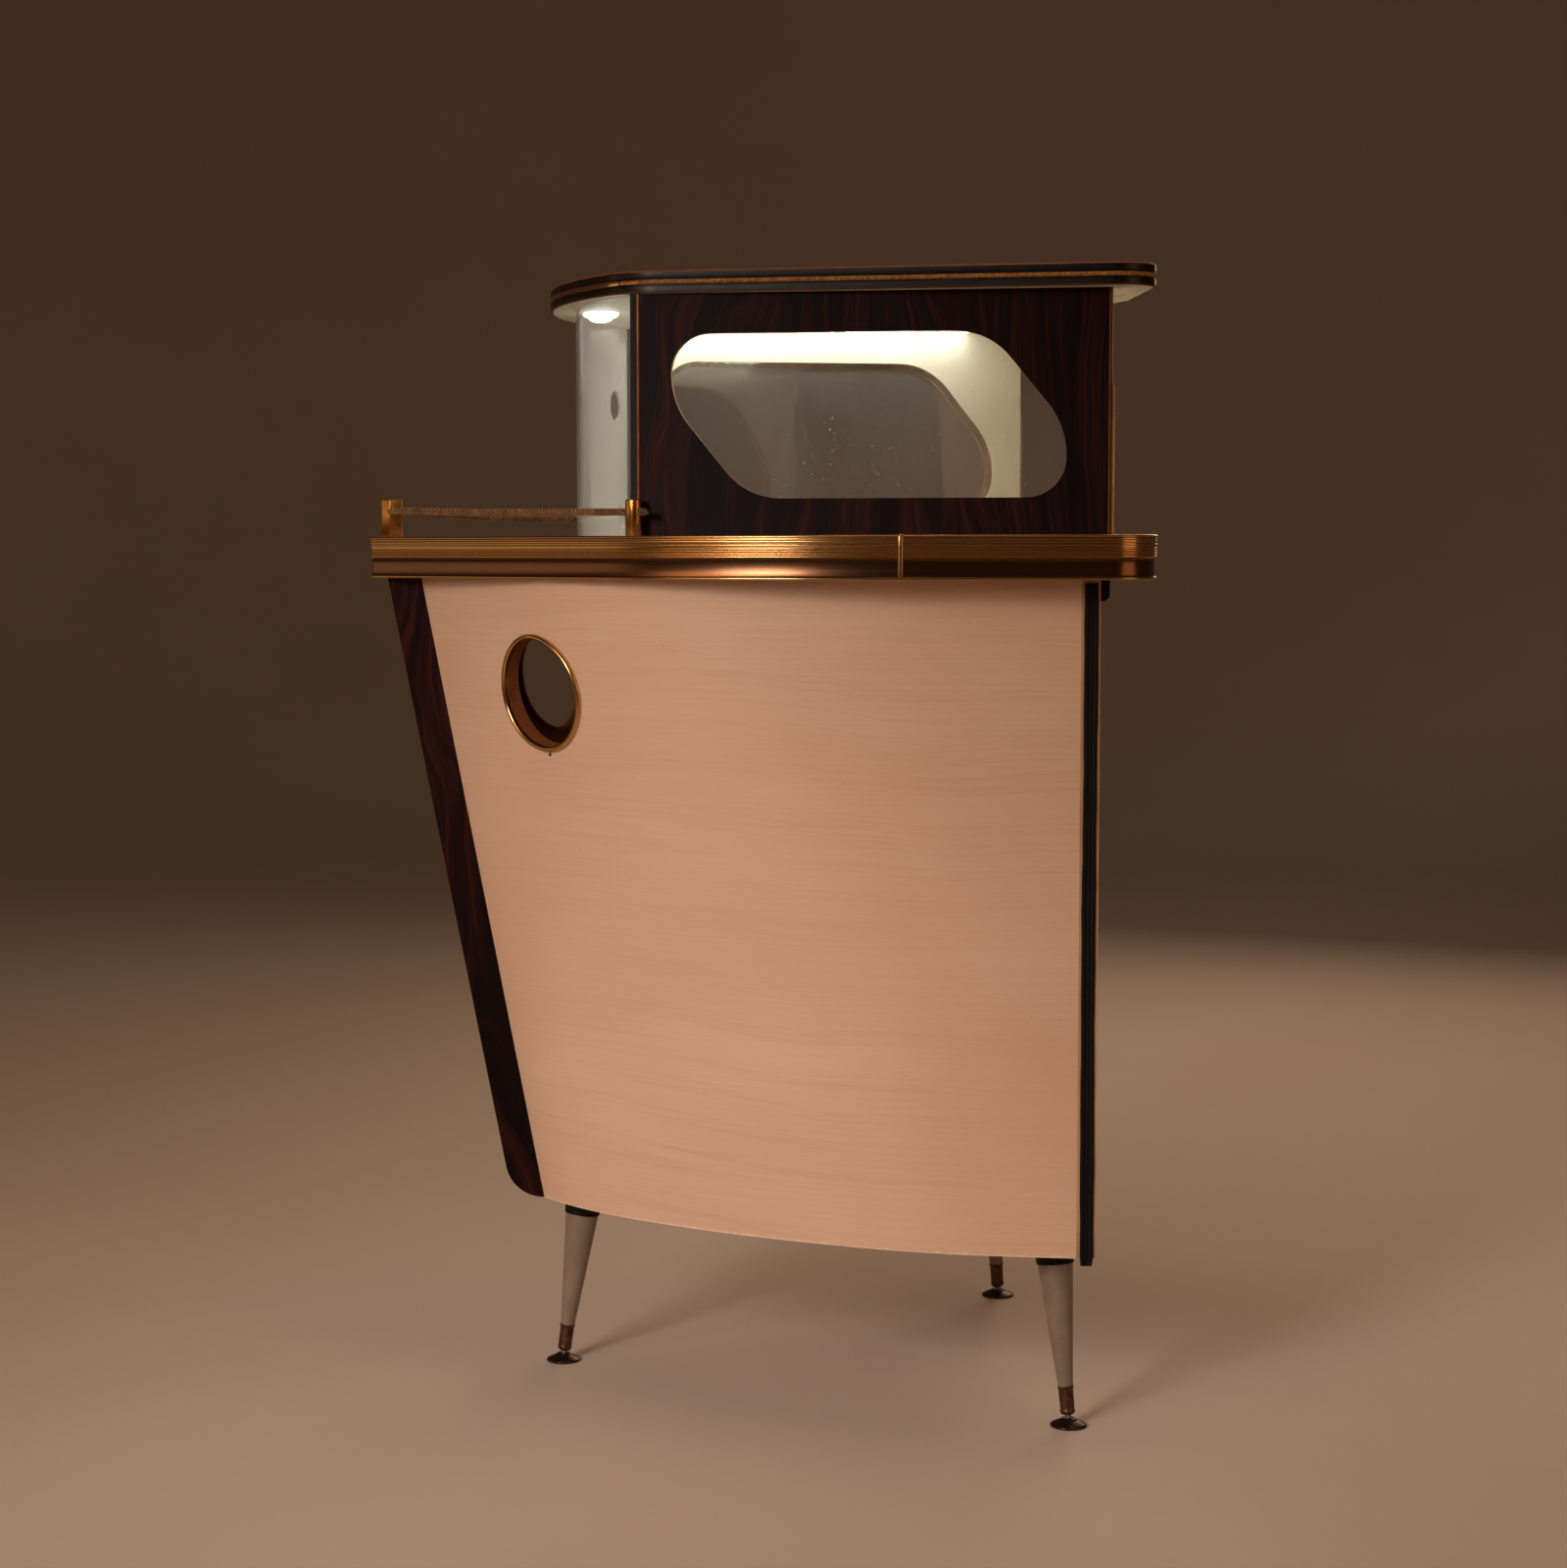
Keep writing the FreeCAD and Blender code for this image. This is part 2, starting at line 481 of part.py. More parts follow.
# ------------------------------------------------------------- posts and ropes
prow = Part.Face(Part.makePolygon([V(x, y, COUNTER_TOP) for x, y in PROW_POST] + [V(PROW_POST[0][0], PROW_POST[0][1], COUNTER_TOP)])).extrude(V(0, 0, PROW_TOP - COUNTER_TOP))
save("prow_post", prow)

rs, re_ = V(*ROPE_START), V(*ROPE_END)
rdir = re_ - rs
rdir.normalize()


def route(sag, n, sign):
    pts = []
    for i in range(n + 1):
        f = i / float(n)
        q = rs + (re_ - rs) * f
        pts.append(V(q.x, q.y * (1.0 if sign < 0 else -1.0), q.z - 4.0 * sag * f * (1.0 - f)))
    return pts


def tube(pts, r, label):
    """Straight runs joined by tangent arcs."""
    edges = []
    cur = pts[0]
    rmin = 1e9
    for i in range(1, len(pts) - 1):
        a = (pts[i - 1] - pts[i])
        b = (pts[i + 1] - pts[i])
        la, lb = a.Length, b.Length
        a.normalize()
        b.normalize()
        turn = math.pi - math.acos(max(-1.0, min(1.0, a.dot(b))))
        t = 0.45 * min(la, lb)
        rmin = min(rmin, t / math.tan(turn / 2.0))
        p1, p2 = pts[i] + a * t, pts[i] + b * t
        h = a + b
        h.normalize()
        rad = t / math.tan(turn / 2.0)
        m = pts[i] + h * (rad / math.cos(turn / 2.0) - rad)
        edges.append(Part.LineSegment(cur, p1).toShape())
        edges.append(Part.Arc(p1, m, p2).toShape())
        cur = p2
    edges.append(Part.LineSegment(cur, pts[-1]).toShape())
    w = Part.Wire(edges)
    d = pts[1] - pts[0]
    d.normalize()
    circ = Part.Wire([Part.Circle(pts[0], d, r).toShape()])
    sw = w.makePipeShell([circ], True, True)
    print(label, "length %.1f  min radius %.0f  volume ratio %.4f" % (w.Length, rmin, sw.Volume / (math.pi * r * r * w.Length)))
    print(label, "points", [tuple(round(c, 2) for c in p) for p in pts])
    return sw


post = Part.makeCylinder(SIDE_POST[2], SIDE_TOP - COUNTER_TOP, V(SIDE_POST[0], SIDE_POST[1], COUNTER_TOP))
save("side_post_port", post.cut(tube(route(PORT_SAG, 4, -1), ROPE_D / 2 + 0.5, "post hole port")))
save("side_post_starboard", mirror(post).cut(tube(route(STAR_SAG, 5, 1), ROPE_D / 2 + 0.5, "post hole starboard")))
rp = tube(route(PORT_SAG, 4, -1), ROPE_D / 2, "rope_port").cut(prow)
rsb = tube(route(STAR_SAG, 5, 1), ROPE_D / 2, "rope_starboard").cut(prow)
for name, r_ in (("port", rp), ("starboard", rsb)):
    big = max(r_.Solids, key=lambda s: s.Volume)
    kc = re_ if name == "port" else V(re_.x, -re_.y, re_.z)
    kd = rdir if name == "port" else V(rdir.x, -rdir.y, rdir.z)
    knot = Part.makeSphere(6.6, V(0, 0, 0))
    knot.Placement = FreeCAD.Placement(kc + kd * 1.8, FreeCAD.Rotation())
    big = big.cut(knot)
    big = max(big.Solids, key=lambda s: s.Volume)
    save("rope_%s" % name, big)
    pst = written["side_post_%s" % name]
    save("rope_knot_%s" % name, knot.cut(pst))

# ---------------------------------------------------------------------- totals
bb = Part.makeCompound(list(written.values())).BoundBox
print("nodes", len(written), "box", [round(v, 2) for v in (bb.XMin + SHIFT_X, bb.XMax + SHIFT_X, bb.YMin, bb.YMax, bb.ZMin, bb.ZMax)])
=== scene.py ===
import math

import bmesh
import bpy
import numpy as np
from mathutils import Matrix, Vector
from mathutils.bvhtree import BVHTree


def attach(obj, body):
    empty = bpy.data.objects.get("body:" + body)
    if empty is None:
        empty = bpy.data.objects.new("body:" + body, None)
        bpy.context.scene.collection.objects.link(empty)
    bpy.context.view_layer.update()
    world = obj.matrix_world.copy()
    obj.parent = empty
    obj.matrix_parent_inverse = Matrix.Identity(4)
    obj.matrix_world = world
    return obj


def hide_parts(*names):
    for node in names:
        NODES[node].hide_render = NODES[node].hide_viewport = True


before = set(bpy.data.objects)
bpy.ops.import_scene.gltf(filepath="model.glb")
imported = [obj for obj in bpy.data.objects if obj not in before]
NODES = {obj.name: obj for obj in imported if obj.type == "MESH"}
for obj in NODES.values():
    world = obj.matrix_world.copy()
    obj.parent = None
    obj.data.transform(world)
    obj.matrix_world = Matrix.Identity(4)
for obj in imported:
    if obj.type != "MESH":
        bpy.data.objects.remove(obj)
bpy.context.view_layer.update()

# Boat-shaped drinks cabinet. Metres, same frame as the solids: prow to -X, port
# side to -Y, floor at z = 0.
MM = 0.001
OX = -0.00685             # the part is built about its own origin and moved by this in X
SC = bpy.context.scene


def V(*p):
    return Vector(p)


# ============================================================================ camera
YAW, PITCH, ROLL = -0.0303, 0.07747, -0.0019
fwd = V(-math.sin(YAW) * math.cos(PITCH), math.cos(YAW) * math.cos(PITCH), -math.sin(PITCH))
right = V(math.cos(YAW), math.sin(YAW), 0)
up = right.cross(fwd)
rr = right * math.cos(ROLL) + up * math.sin(ROLL)
uu = up * math.cos(ROLL) - right * math.sin(ROLL)
cam_data = bpy.data.cameras.new("camera")
cam = bpy.data.objects.new("camera", cam_data)
SC.collection.objects.link(cam)
cam.matrix_world = Matrix(((rr.x, uu.x, -fwd.x, -0.16582 + OX), (rr.y, uu.y, -fwd.y, -3.64474), (rr.z, uu.z, -fwd.z, 0.98758), (0, 0, 0, 1)))
cam_data.sensor_width = 36.0
cam_data.sensor_fit = "AUTO"
cam_data.lens = 3100.0 * 36.0 / 1600.0
cam_data.shift_x = (799.5 - 700.0) / 1600.0
cam_data.shift_y = 0.0
cam_data.clip_start, cam_data.clip_end = 0.05, 100.0
cam_data.dof.use_dof = False
SC.camera = cam


# ============================================================================ materials
class Mat:
    """A principled material with a few short helpers for its nodes."""

    def __init__(self, name, **sockets):
        self.m = bpy.data.materials.new(name)
        self.m.use_nodes = True
        self.nt = self.m.node_tree
        self.nt.nodes.clear()
        self.out = self.nt.nodes.new("ShaderNodeOutputMaterial")
        self.b = self.nt.nodes.new("ShaderNodeBsdfPrincipled")
        self.nt.links.new(self.b.outputs[0], self.out.inputs[0])
        self.tc = None
        for k, v in sockets.items():
            self.set(k.replace("_", " "), v)

    def set(self, socket, value):
        s = self.b.inputs[socket]
        if hasattr(value, "links"):
            self.nt.links.new(value, s)
        elif isinstance(value, tuple) and len(value) == 3 and s.type == "RGBA":
            s.default_value = (*value, 1.0)
        else:
            s.default_value = value

    def _in(self, sock, value):
        if hasattr(value, "links"):
            self.nt.links.new(value, sock)
        elif isinstance(value, tuple) and sock.type == "RGBA" and len(value) == 3:
            sock.default_value = (*value, 1.0)
        else:
            sock.default_value = value

    def coords(self, scale=(1, 1, 1), rot=(0, 0, 0), loc=(0, 0, 0), base=None):
        if self.tc is None:
            self.tc = self.nt.nodes.new("ShaderNodeTexCoord")
        mp = self.nt.nodes.new("ShaderNodeMapping")
        mp.inputs["Scale"].default_value = scale
        mp.inputs["Rotation"].default_value = rot
        mp.inputs["Location"].default_value = loc
        self.nt.links.new(base if base is not None else self.tc.outputs["Object"], mp.inputs["Vector"])
        return mp.outputs[0]

    def noise(self, vec, scale=1.0, detail=2.0, rough=0.5, dist=0.0, out="Fac"):
        n = self.nt.nodes.new("ShaderNodeTexNoise")
        n.inputs["Scale"].default_value = scale
        n.inputs["Detail"].default_value = detail
        n.inputs["Roughness"].default_value = rough
        n.inputs["Distortion"].default_value = dist
        self.nt.links.new(vec, n.inputs["Vector"])
        return n.outputs[out]

    def voronoi(self, vec, scale=1.0, out="Distance", feature="F1", random=1.0):
        n = self.nt.nodes.new("ShaderNodeTexVoronoi")
        n.feature = feature
        n.inputs["Scale"].default_value = scale
        n.inputs["Randomness"].default_value = random
        self.nt.links.new(vec, n.inputs["Vector"])
        return n.outputs[out]

    def math(self, op, a, b=0.0, c=None, clamp=False):
        n = self.nt.nodes.new("ShaderNodeMath")
        n.operation = op
        n.use_clamp = clamp
        self._in(n.inputs[0], a)
        self._in(n.inputs[1], b)
        if c is not None:
            self._in(n.inputs[2], c)
        return n.outputs[0]

    def vmath(self, op, a, b=(0, 0, 0)):
        n = self.nt.nodes.new("ShaderNodeVectorMath")
        n.operation = op
        self._in(n.inputs[0], a)
        self._in(n.inputs[1], b)
        return n.outputs["Value"] if op in ("DOT_PRODUCT", "LENGTH", "DISTANCE") else n.outputs[0]

    def ramp(self, fac, stops, interp="LINEAR"):
        n = self.nt.nodes.new("ShaderNodeValToRGB")
        n.color_ramp.interpolation = interp
        e = n.color_ramp.elements
        while len(e) > 1:
            e.remove(e[-1])
        for i, (pos, col) in enumerate(stops):
            el = e[0] if i == 0 else e.new(pos)
            el.position = pos
            col = (col, col, col) if isinstance(col, (int, float)) else col
            el.color = (*col, 1.0)
        self.nt.links.new(fac, n.inputs[0])
        return n.outputs[0]

    def mix(self, fac, a, b, mode="MIX"):
        n = self.nt.nodes.new("ShaderNodeMix")
        n.data_type = "RGBA"
        n.blend_type = mode
        n.clamp_factor = True
        self._in(n.inputs[0], fac)
        self._in(n.inputs[6], a)
        self._in(n.inputs[7], b)
        return n.outputs[2]

    def mapr(self, v, a, b, c, d):
        n = self.nt.nodes.new("ShaderNodeMapRange")
        n.clamp = True
        self._in(n.inputs[0], v)
        for i, x in enumerate((a, b, c, d)):
            n.inputs[i + 1].default_value = x
        return n.outputs[0]

    def xyz(self, vec):
        n = self.nt.nodes.new("ShaderNodeSeparateXYZ")
        self.nt.links.new(vec, n.inputs[0])
        return n.outputs

    def comb(self, x, y, z):
        n = self.nt.nodes.new("ShaderNodeCombineXYZ")
        for i, s in enumerate((x, y, z)):
            self._in(n.inputs[i], s)
        return n.outputs[0]

    def normal(self):
        n = self.nt.nodes.new("ShaderNodeNewGeometry")
        return n.outputs["Normal"]

    def bump(self, height, strength=0.3, distance=0.001, normal=None):
        n = self.nt.nodes.new("ShaderNodeBump")
        n.inputs["Strength"].default_value = strength
        n.inputs["Distance"].default_value = distance
        self.nt.links.new(height, n.inputs["Height"])
        if normal is not None:
            self.nt.links.new(normal, n.inputs["Normal"])
        self.nt.links.new(n.outputs[0], self.b.inputs["Normal"])
        return n.outputs[0]


def srgb(r, g, b):
    f = lambda c: (c / 255.0) / 12.92 if c / 255.0 <= 0.04045 else ((c / 255.0 + 0.055) / 1.055) ** 2.4
    return (f(r), f(g), f(b))


def mat_maple():
    """Rotary-cut pale maple, lacquered outside, plain and redder inside the hull."""
    M = Mat("maple_veneer")
    o = M.xyz(M.coords())
    sway = M.noise(M.coords((1.5, 1.5, 0.8)), 1.0, 2.0, 0.5)
    sway2 = M.noise(M.coords((5.0, 5.0, 8.0), loc=(2, 4, 1)), 1.0, 2.0, 0.5)
    field = M.math("ADD", o["Z"], M.math("MULTIPLY", M.math("SUBTRACT", sway, 0.5), 0.13))
    field = M.math("ADD", field, M.math("MULTIPLY", M.math("SUBTRACT", sway2, 0.5), 0.016))
    rings = M.noise(M.comb(M.math("MULTIPLY", o["X"], 1.1), M.math("MULTIPLY", o["Y"], 1.1), M.math("MULTIPLY", field, 78.0)), 1.0, 3.0, 0.55)
    patch = M.noise(M.coords((1.4, 1.4, 2.4), loc=(3.1, 0, 0)), 1.0, 2.0, 0.5)
    lines = M.math("MULTIPLY", M.mapr(rings, 0.555, 0.600, 0.0, 1.0), M.mapr(rings, 0.60, 0.66, 1.0, 0.1))
    lines = M.math("MULTIPLY", lines, M.mapr(patch, 0.38, 0.62, 0.25, 1.0))
    broad = M.noise(M.comb(M.math("MULTIPLY", o["X"], 0.8), M.math("MULTIPLY", o["Y"], 0.8), M.math("MULTIPLY", field, 26.0)), 1.0, 3.0, 0.55)
    fine = M.noise(M.coords((3.4, 3.4, 320.0)), 1.0, 5.0, 0.62)
    fibre = M.noise(M.coords((34.0, 34.0, 1900.0)), 1.0, 2.0, 0.6)
    cloud = M.noise(M.coords((1.9, 1.9, 4.2), loc=(7, 2, 1)), 1.0, 3.0, 0.55)
    base = M.ramp(cloud, [(0.30, srgb(218, 180, 150)), (0.5, srgb(223, 187, 158)), (0.72, srgb(228, 195, 167))])
    base = M.mix(M.mapr(broad, 0.42, 0.66, 0.0, 0.11), base, srgb(208, 164, 130))
    base = M.mix(M.mapr(fine, 0.36, 0.70, 0.0, 0.26), base, srgb(204, 162, 130))
    base = M.mix(M.math("MULTIPLY", lines, 0.16), base, srgb(188, 136, 100))
    base = M.mix(M.mapr(fibre, 0.56, 0.80, 0.0, 0.20), base, srgb(186, 140, 108))
    fleck = M.noise(M.coords((10.0, 10.0, 130.0), loc=(1, 5, 2)), 1.0, 3.0, 0.7)
    base = M.mix(M.mapr(fleck, 0.62, 0.74, 0.0, 0.16), base, srgb(238, 213, 190))
    dots = M.voronoi(M.coords((16.0, 16.0, 30.0), loc=(4, 0, 9)), 1.0)
    base = M.mix(M.mapr(dots, 0.022, 0.036, 0.35, 0.0), base, srgb(160, 110, 78))
    # pale worn lower edge with small chips
    chip = M.noise(M.coords((90.0, 90.0, 30.0), loc=(0, 3, 3)), 1.0, 3.0, 0.6)
    low = M.math("SUBTRACT", M.math("ADD", 0.2076, M.math("MULTIPLY", M.mapr(chip, 0.52, 0.72, 0.0, 1.0), 0.0032)), o["Z"])
    base = M.mix(M.mapr(low, 0.0, 0.0006, 0.0, 0.8), base, srgb(236, 214, 186))
    # inner face: the normal points back into the hull
    nn = M.xyz(M.normal())
    side = M.math("SIGN", o["Y"])
    outw = M.math("SUBTRACT", M.math("MULTIPLY", nn["Y"], side), M.math("MULTIPLY", nn["X"], 0.6))
    inside = M.mapr(outw, -0.35, -0.25, 1.0, 0.0)
    col = M.mix(inside, base, M.mix(M.mapr(fine, 0.3, 0.7, 0.0, 1.0), srgb(150, 92, 62), srgb(120, 68, 44)))
    M.set("Base Color", col)
    M.set("Roughness", M.math("ADD", M.mapr(fine, 0.3, 0.7, 0.38, 0.47), M.math("MULTIPLY", inside, 0.2)))
    M.set("Coat Weight", 0.12)
    M.set("Coat Roughness", 0.32)
    h = M.math("ADD", M.math("MULTIPLY", fine, 0.5), M.math("MULTIPLY", fibre, 0.5))
    M.bump(h, 0.14, 0.0004)
    return M.m


def mat_rosewood(name, direction, shear=0.0, gloss=0.36, cut=False):
    """Dark plum-brown veneer, near-black figure running along one direction; bare ply on cut edges."""
    M = Mat(name)
    o = M.xyz(M.coords())
    x, y, z = o["X"], o["Y"], o["Z"]
    if direction == "Z":
        across, depth, along = M.math("ADD", x, M.math("MULTIPLY", z, shear)), y, z
        f1, f2 = (5.2, 5.2, 2.1), (15.0, 15.0, 5.0)
    elif direction == "X":
        across, depth, along = y, z, x
        f1, f2 = (2.1, 5.2, 5.2), (5.0, 15.0, 15.0)
    else:
        across, depth, along = z, x, y
        f1, f2 = (5.2, 2.1, 5.2), (15.0, 5.0, 15.0)
    big = M.noise(M.coords(f1, loc=(0.4, 2.0, 1.3)), 1.0, 2.0, 0.5)
    mid = M.noise(M.coords(f2, loc=(3.0, 1.0, 0.2)), 1.0, 2.0, 0.5)
    field = M.math("ADD", across, M.math("MULTIPLY", M.math("SUBTRACT", big, 0.5), 0.21))
    field = M.math("ADD", field, M.math("MULTIPLY", M.math("SUBTRACT", mid, 0.5), 0.032))

    def layer(k, depth_k, along_k, detail, rough):
        return M.noise(M.comb(M.math("MULTIPLY", field, k), M.math("MULTIPLY", depth, depth_k), M.math("MULTIPLY", along, along_k)), 1.0, detail, rough)

    broad = layer(46.0, 6.0, 1.6, 3.0, 0.55)
    streak = layer(170.0, 14.0, 4.0, 5.0, 0.64)
    fine = layer(640.0, 60.0, 13.0, 3.0, 0.6)
    pore = layer(1900.0, 200.0, 36.0, 2.0, 0.6)
    col = M.ramp(streak, [(0.33, srgb(11, 4, 4)), (0.44, srgb(24, 8, 7)), (0.54, srgb(39, 13, 11)), (0.66, srgb(62, 23, 17))])
    col = M.mix(M.mapr(broad, 0.50, 0.59, 0.0, 0.85), col, srgb(14, 6, 7))
    col = M.mix(M.mapr(broad, 0.36, 0.44, 0.3, 0.0), col, srgb(58, 24, 21))
    col = M.mix(M.mapr(fine, 0.52, 0.68, 0.0, 0.62), col, srgb(12, 5, 6))
    col = M.mix(M.mapr(pore, 0.60, 0.72, 0.0, 0.5), col, srgb(8, 3, 4))
    if cut:
        nn = M.xyz(M.normal())
        ca, sa = math.cos(math.radians(10.33)), math.sin(math.radians(10.33))
        ay = M.math("MULTIPLY", M.math("MULTIPLY", nn["Y"], M.math("SIGN", y)), ca)
        face = M.mapr(M.math("SUBTRACT", ay, M.math("MULTIPLY", nn["X"], sa)), 0.86, 0.94, 0.0, 1.0)
        ply = M.noise(M.coords((60.0, 500.0, 60.0)), 1.0, 3.0, 0.6)
        col = M.mix(face, M.ramp(ply, [(0.35, srgb(176, 138, 94)), (0.62, srgb(212, 180, 136))]), col)
    M.set("Base Color", col)
    M.set("Roughness", M.mapr(fine, 0.3, 0.7, gloss, gloss + 0.12))
    M.set("Specular IOR Level", 0.09)
    M.set("Coat Weight", 0.01)
    M.set("Coat Roughness", 0.2)
    M.bump(M.math("ADD", M.math("MULTIPLY", pore, 0.6), M.math("MULTIPLY", fine, 0.4)), 0.12, 0.0004)
    return M.m


def mat_raw_wood():
    """Unfinished softwood, sawn faces, darker towards the bottom."""
    M = Mat("raw_softwood")
    o = M.xyz(M.coords())
    grain = M.noise(M.coords((120.0, 120.0, 3.0)), 1.0, 5.0, 0.6, 0.3)
    saw = M.noise(M.coords((14.0, 14.0, 420.0)), 1.0, 3.0, 0.6)
    blot = M.noise(M.coords((9.0, 9.0, 6.0)), 1.0, 3.0, 0.6)
    col = M.ramp(grain, [(0.3, srgb(168, 122, 80)), (0.52, srgb(196, 152, 106)), (0.7, srgb(214, 176, 132))])
    col = M.mix(M.mapr(blot, 0.52, 0.72, 0.0, 0.5), col, srgb(136, 92, 60))
    col = M.mix(M.mapr(saw, 0.56, 0.72, 0.0, 0.35), col, srgb(120, 82, 54))
    # darker towards the bottom
    darker_low = M.mapr(o["Z"], 0.19, 0.27, 0.45, 0.0)
    col = M.mix(darker_low, col, srgb(96, 66, 46))
    M.set("Base Color", col)
    M.set("Roughness", M.mapr(saw, 0.3, 0.7, 0.62, 0.85))
    M.bump(M.math("ADD", M.math("MULTIPLY", grain, 0.5), M.math("MULTIPLY", saw, 0.6)), 0.5, 0.0008)
    return M.m


def mat_ply(name, light, dark):
    """Plain ply: quiet face grain, thin layers on the cut edges."""
    M = Mat(name)
    o = M.xyz(M.coords())
    nz = M.math("ABSOLUTE", M.xyz(M.normal())["Z"])
    edge = M.mapr(nz, 0.35, 0.55, 1.0, 0.0)
    face = M.noise(M.coords((3.0, 90.0, 90.0)), 1.0, 5.0, 0.62, 0.4)
    col = M.ramp(face, [(0.3, dark), (0.55, tuple((a + b) / 2 for a, b in zip(light, dark))), (0.72, light)])
    lay = M.math("FRACT", M.math("MULTIPLY", o["Z"], 1.0 / 0.0034))
    lay = M.mapr(M.math("ABSOLUTE", M.math("SUBTRACT", lay, 0.5)), 0.22, 0.28, 0.0, 1.0)
    spk = M.noise(M.coords((160.0, 160.0, 400.0)), 1.0, 2.0, 0.6)
    ecol = M.mix(lay, tuple(c * 0.55 for c in dark), light)
    ecol = M.mix(M.mapr(spk, 0.45, 0.75, 0.0, 0.4), ecol, dark)
    M.set("Base Color", M.mix(edge, col, ecol))
    M.set("Roughness", M.mapr(face, 0.3, 0.7, 0.52, 0.68))
    M.bump(M.math("ADD", M.math("MULTIPLY", face, 0.4), M.math("MULTIPLY", spk, 0.3)), 0.25, 0.0006)
    return M.m


def mat_metal(name, base, dark, rough=0.26, axis="Z", streak=900.0, tarnish=0.35, aniso=0.0, draw=0.12, relief=0.1):
    """Satin metal with drawn lines round one axis, and patchy tarnish."""
    M = Mat(name, Metallic=1.0)
    sc = {"Z": (1.2, 1.2, streak), "X": (streak, 1.0, 1.0), "V": (streak, streak, 6.0), "N": (60.0, 60.0, 60.0)}[axis]
    lines = M.noise(M.coords(sc), 1.0, 3.0, 0.6)
    blot = M.noise(M.coords((9.0, 9.0, 40.0)), 1.0, 4.0, 0.62)
    spots = M.noise(M.coords((260.0, 260.0, 260.0)), 1.0, 2.0, 0.5)
    f = M.math("MULTIPLY", M.mapr(blot, 0.46, 0.72, 0.0, 1.0), tarnish)
    f = M.math("ADD", f, M.mapr(spots, 0.66, 0.76, 0.0, 0.25), clamp=True)
    col = M.mix(f, base, dark)
    col = M.mix(M.mapr(lines, 0.35, 0.7, 0.0, draw), col, tuple(c * 0.72 for c in base))
    M.set("Base Color", col)
    M.set("Roughness", M.math("ADD", M.mapr(lines, 0.3, 0.7, rough - 0.05, rough + 0.07), M.math("MULTIPLY", f, 0.16)))
    M.set("Anisotropic", aniso)
    M.bump(M.math("ADD", M.math("MULTIPLY", lines, 0.6), M.math("MULTIPLY", spots, 0.3)), relief, 0.0002)
    return M.m


def mat_white_panel():
    """Cream-white brushed paint; cut edges show pale ply."""
    M = Mat("cream_paint")
    o = M.xyz(M.coords())
    brush = M.noise(M.coords((6.0, 6.0, 260.0)), 1.0, 3.0, 0.6)
    blot = M.noise(M.coords((7.0, 7.0, 7.0)), 1.0, 3.0, 0.55)
    col = M.ramp(blot, [(0.3, srgb(226, 220, 200)), (0.6, srgb(238, 234, 218)), (0.8, srgb(244, 241, 228))])
    scuff = M.noise(M.coords((40.0, 40.0, 40.0)), 1.0, 4.0, 0.7)
    col = M.mix(M.mapr(scuff, 0.64, 0.78, 0.0, 0.3), col, srgb(196, 184, 158))
    M.set("Base Color", col)
    M.set("Roughness", M.mapr(brush, 0.3, 0.7, 0.34, 0.5))
    M.bump(brush, 0.12, 0.0004)
    return M.m


def mat_liner():
    """Cream paint on the faces, bare beige ply round the window cut-out."""
    M = Mat("liner_paint")
    nn = M.xyz(M.normal())
    ca, sa = math.cos(math.radians(10.33)), math.sin(math.radians(10.33))
    # how much the surface faces across the wall, whichever side it stands on
    across = M.math("ADD", M.math("MULTIPLY", nn["X"], sa), M.math("MULTIPLY", M.math("ABSOLUTE", nn["Y"]), ca))
    across2 = M.math("ADD", M.math("MULTIPLY", nn["X"], -sa), M.math("MULTIPLY", M.math("ABSOLUTE", nn["Y"]), ca))
    face = M.mapr(M.math("MAXIMUM", M.math("ABSOLUTE", across), M.math("ABSOLUTE", across2)), 0.9, 0.96, 0.0, 1.0)
    brush = M.noise(M.coords((6.0, 6.0, 260.0)), 1.0, 3.0, 0.6)
    blot = M.noise(M.coords((8.0, 8.0, 8.0)), 1.0, 3.0, 0.55)
    col = M.ramp(blot, [(0.3, srgb(228, 223, 204)), (0.6, srgb(238, 235, 220)), (0.8, srgb(244, 242, 230))])
    ply = M.noise(M.coords((40.0, 600.0, 40.0)), 1.0, 3.0, 0.6)
    cut = M.ramp(ply, [(0.35, srgb(178, 142, 96)), (0.6, srgb(206, 176, 128))])
    M.set("Base Color", M.mix(face, cut, col))
    M.set("Roughness", M.mapr(brush, 0.3, 0.7, 0.36, 0.52))
    M.bump(brush, 0.1, 0.0004)
    return M.m


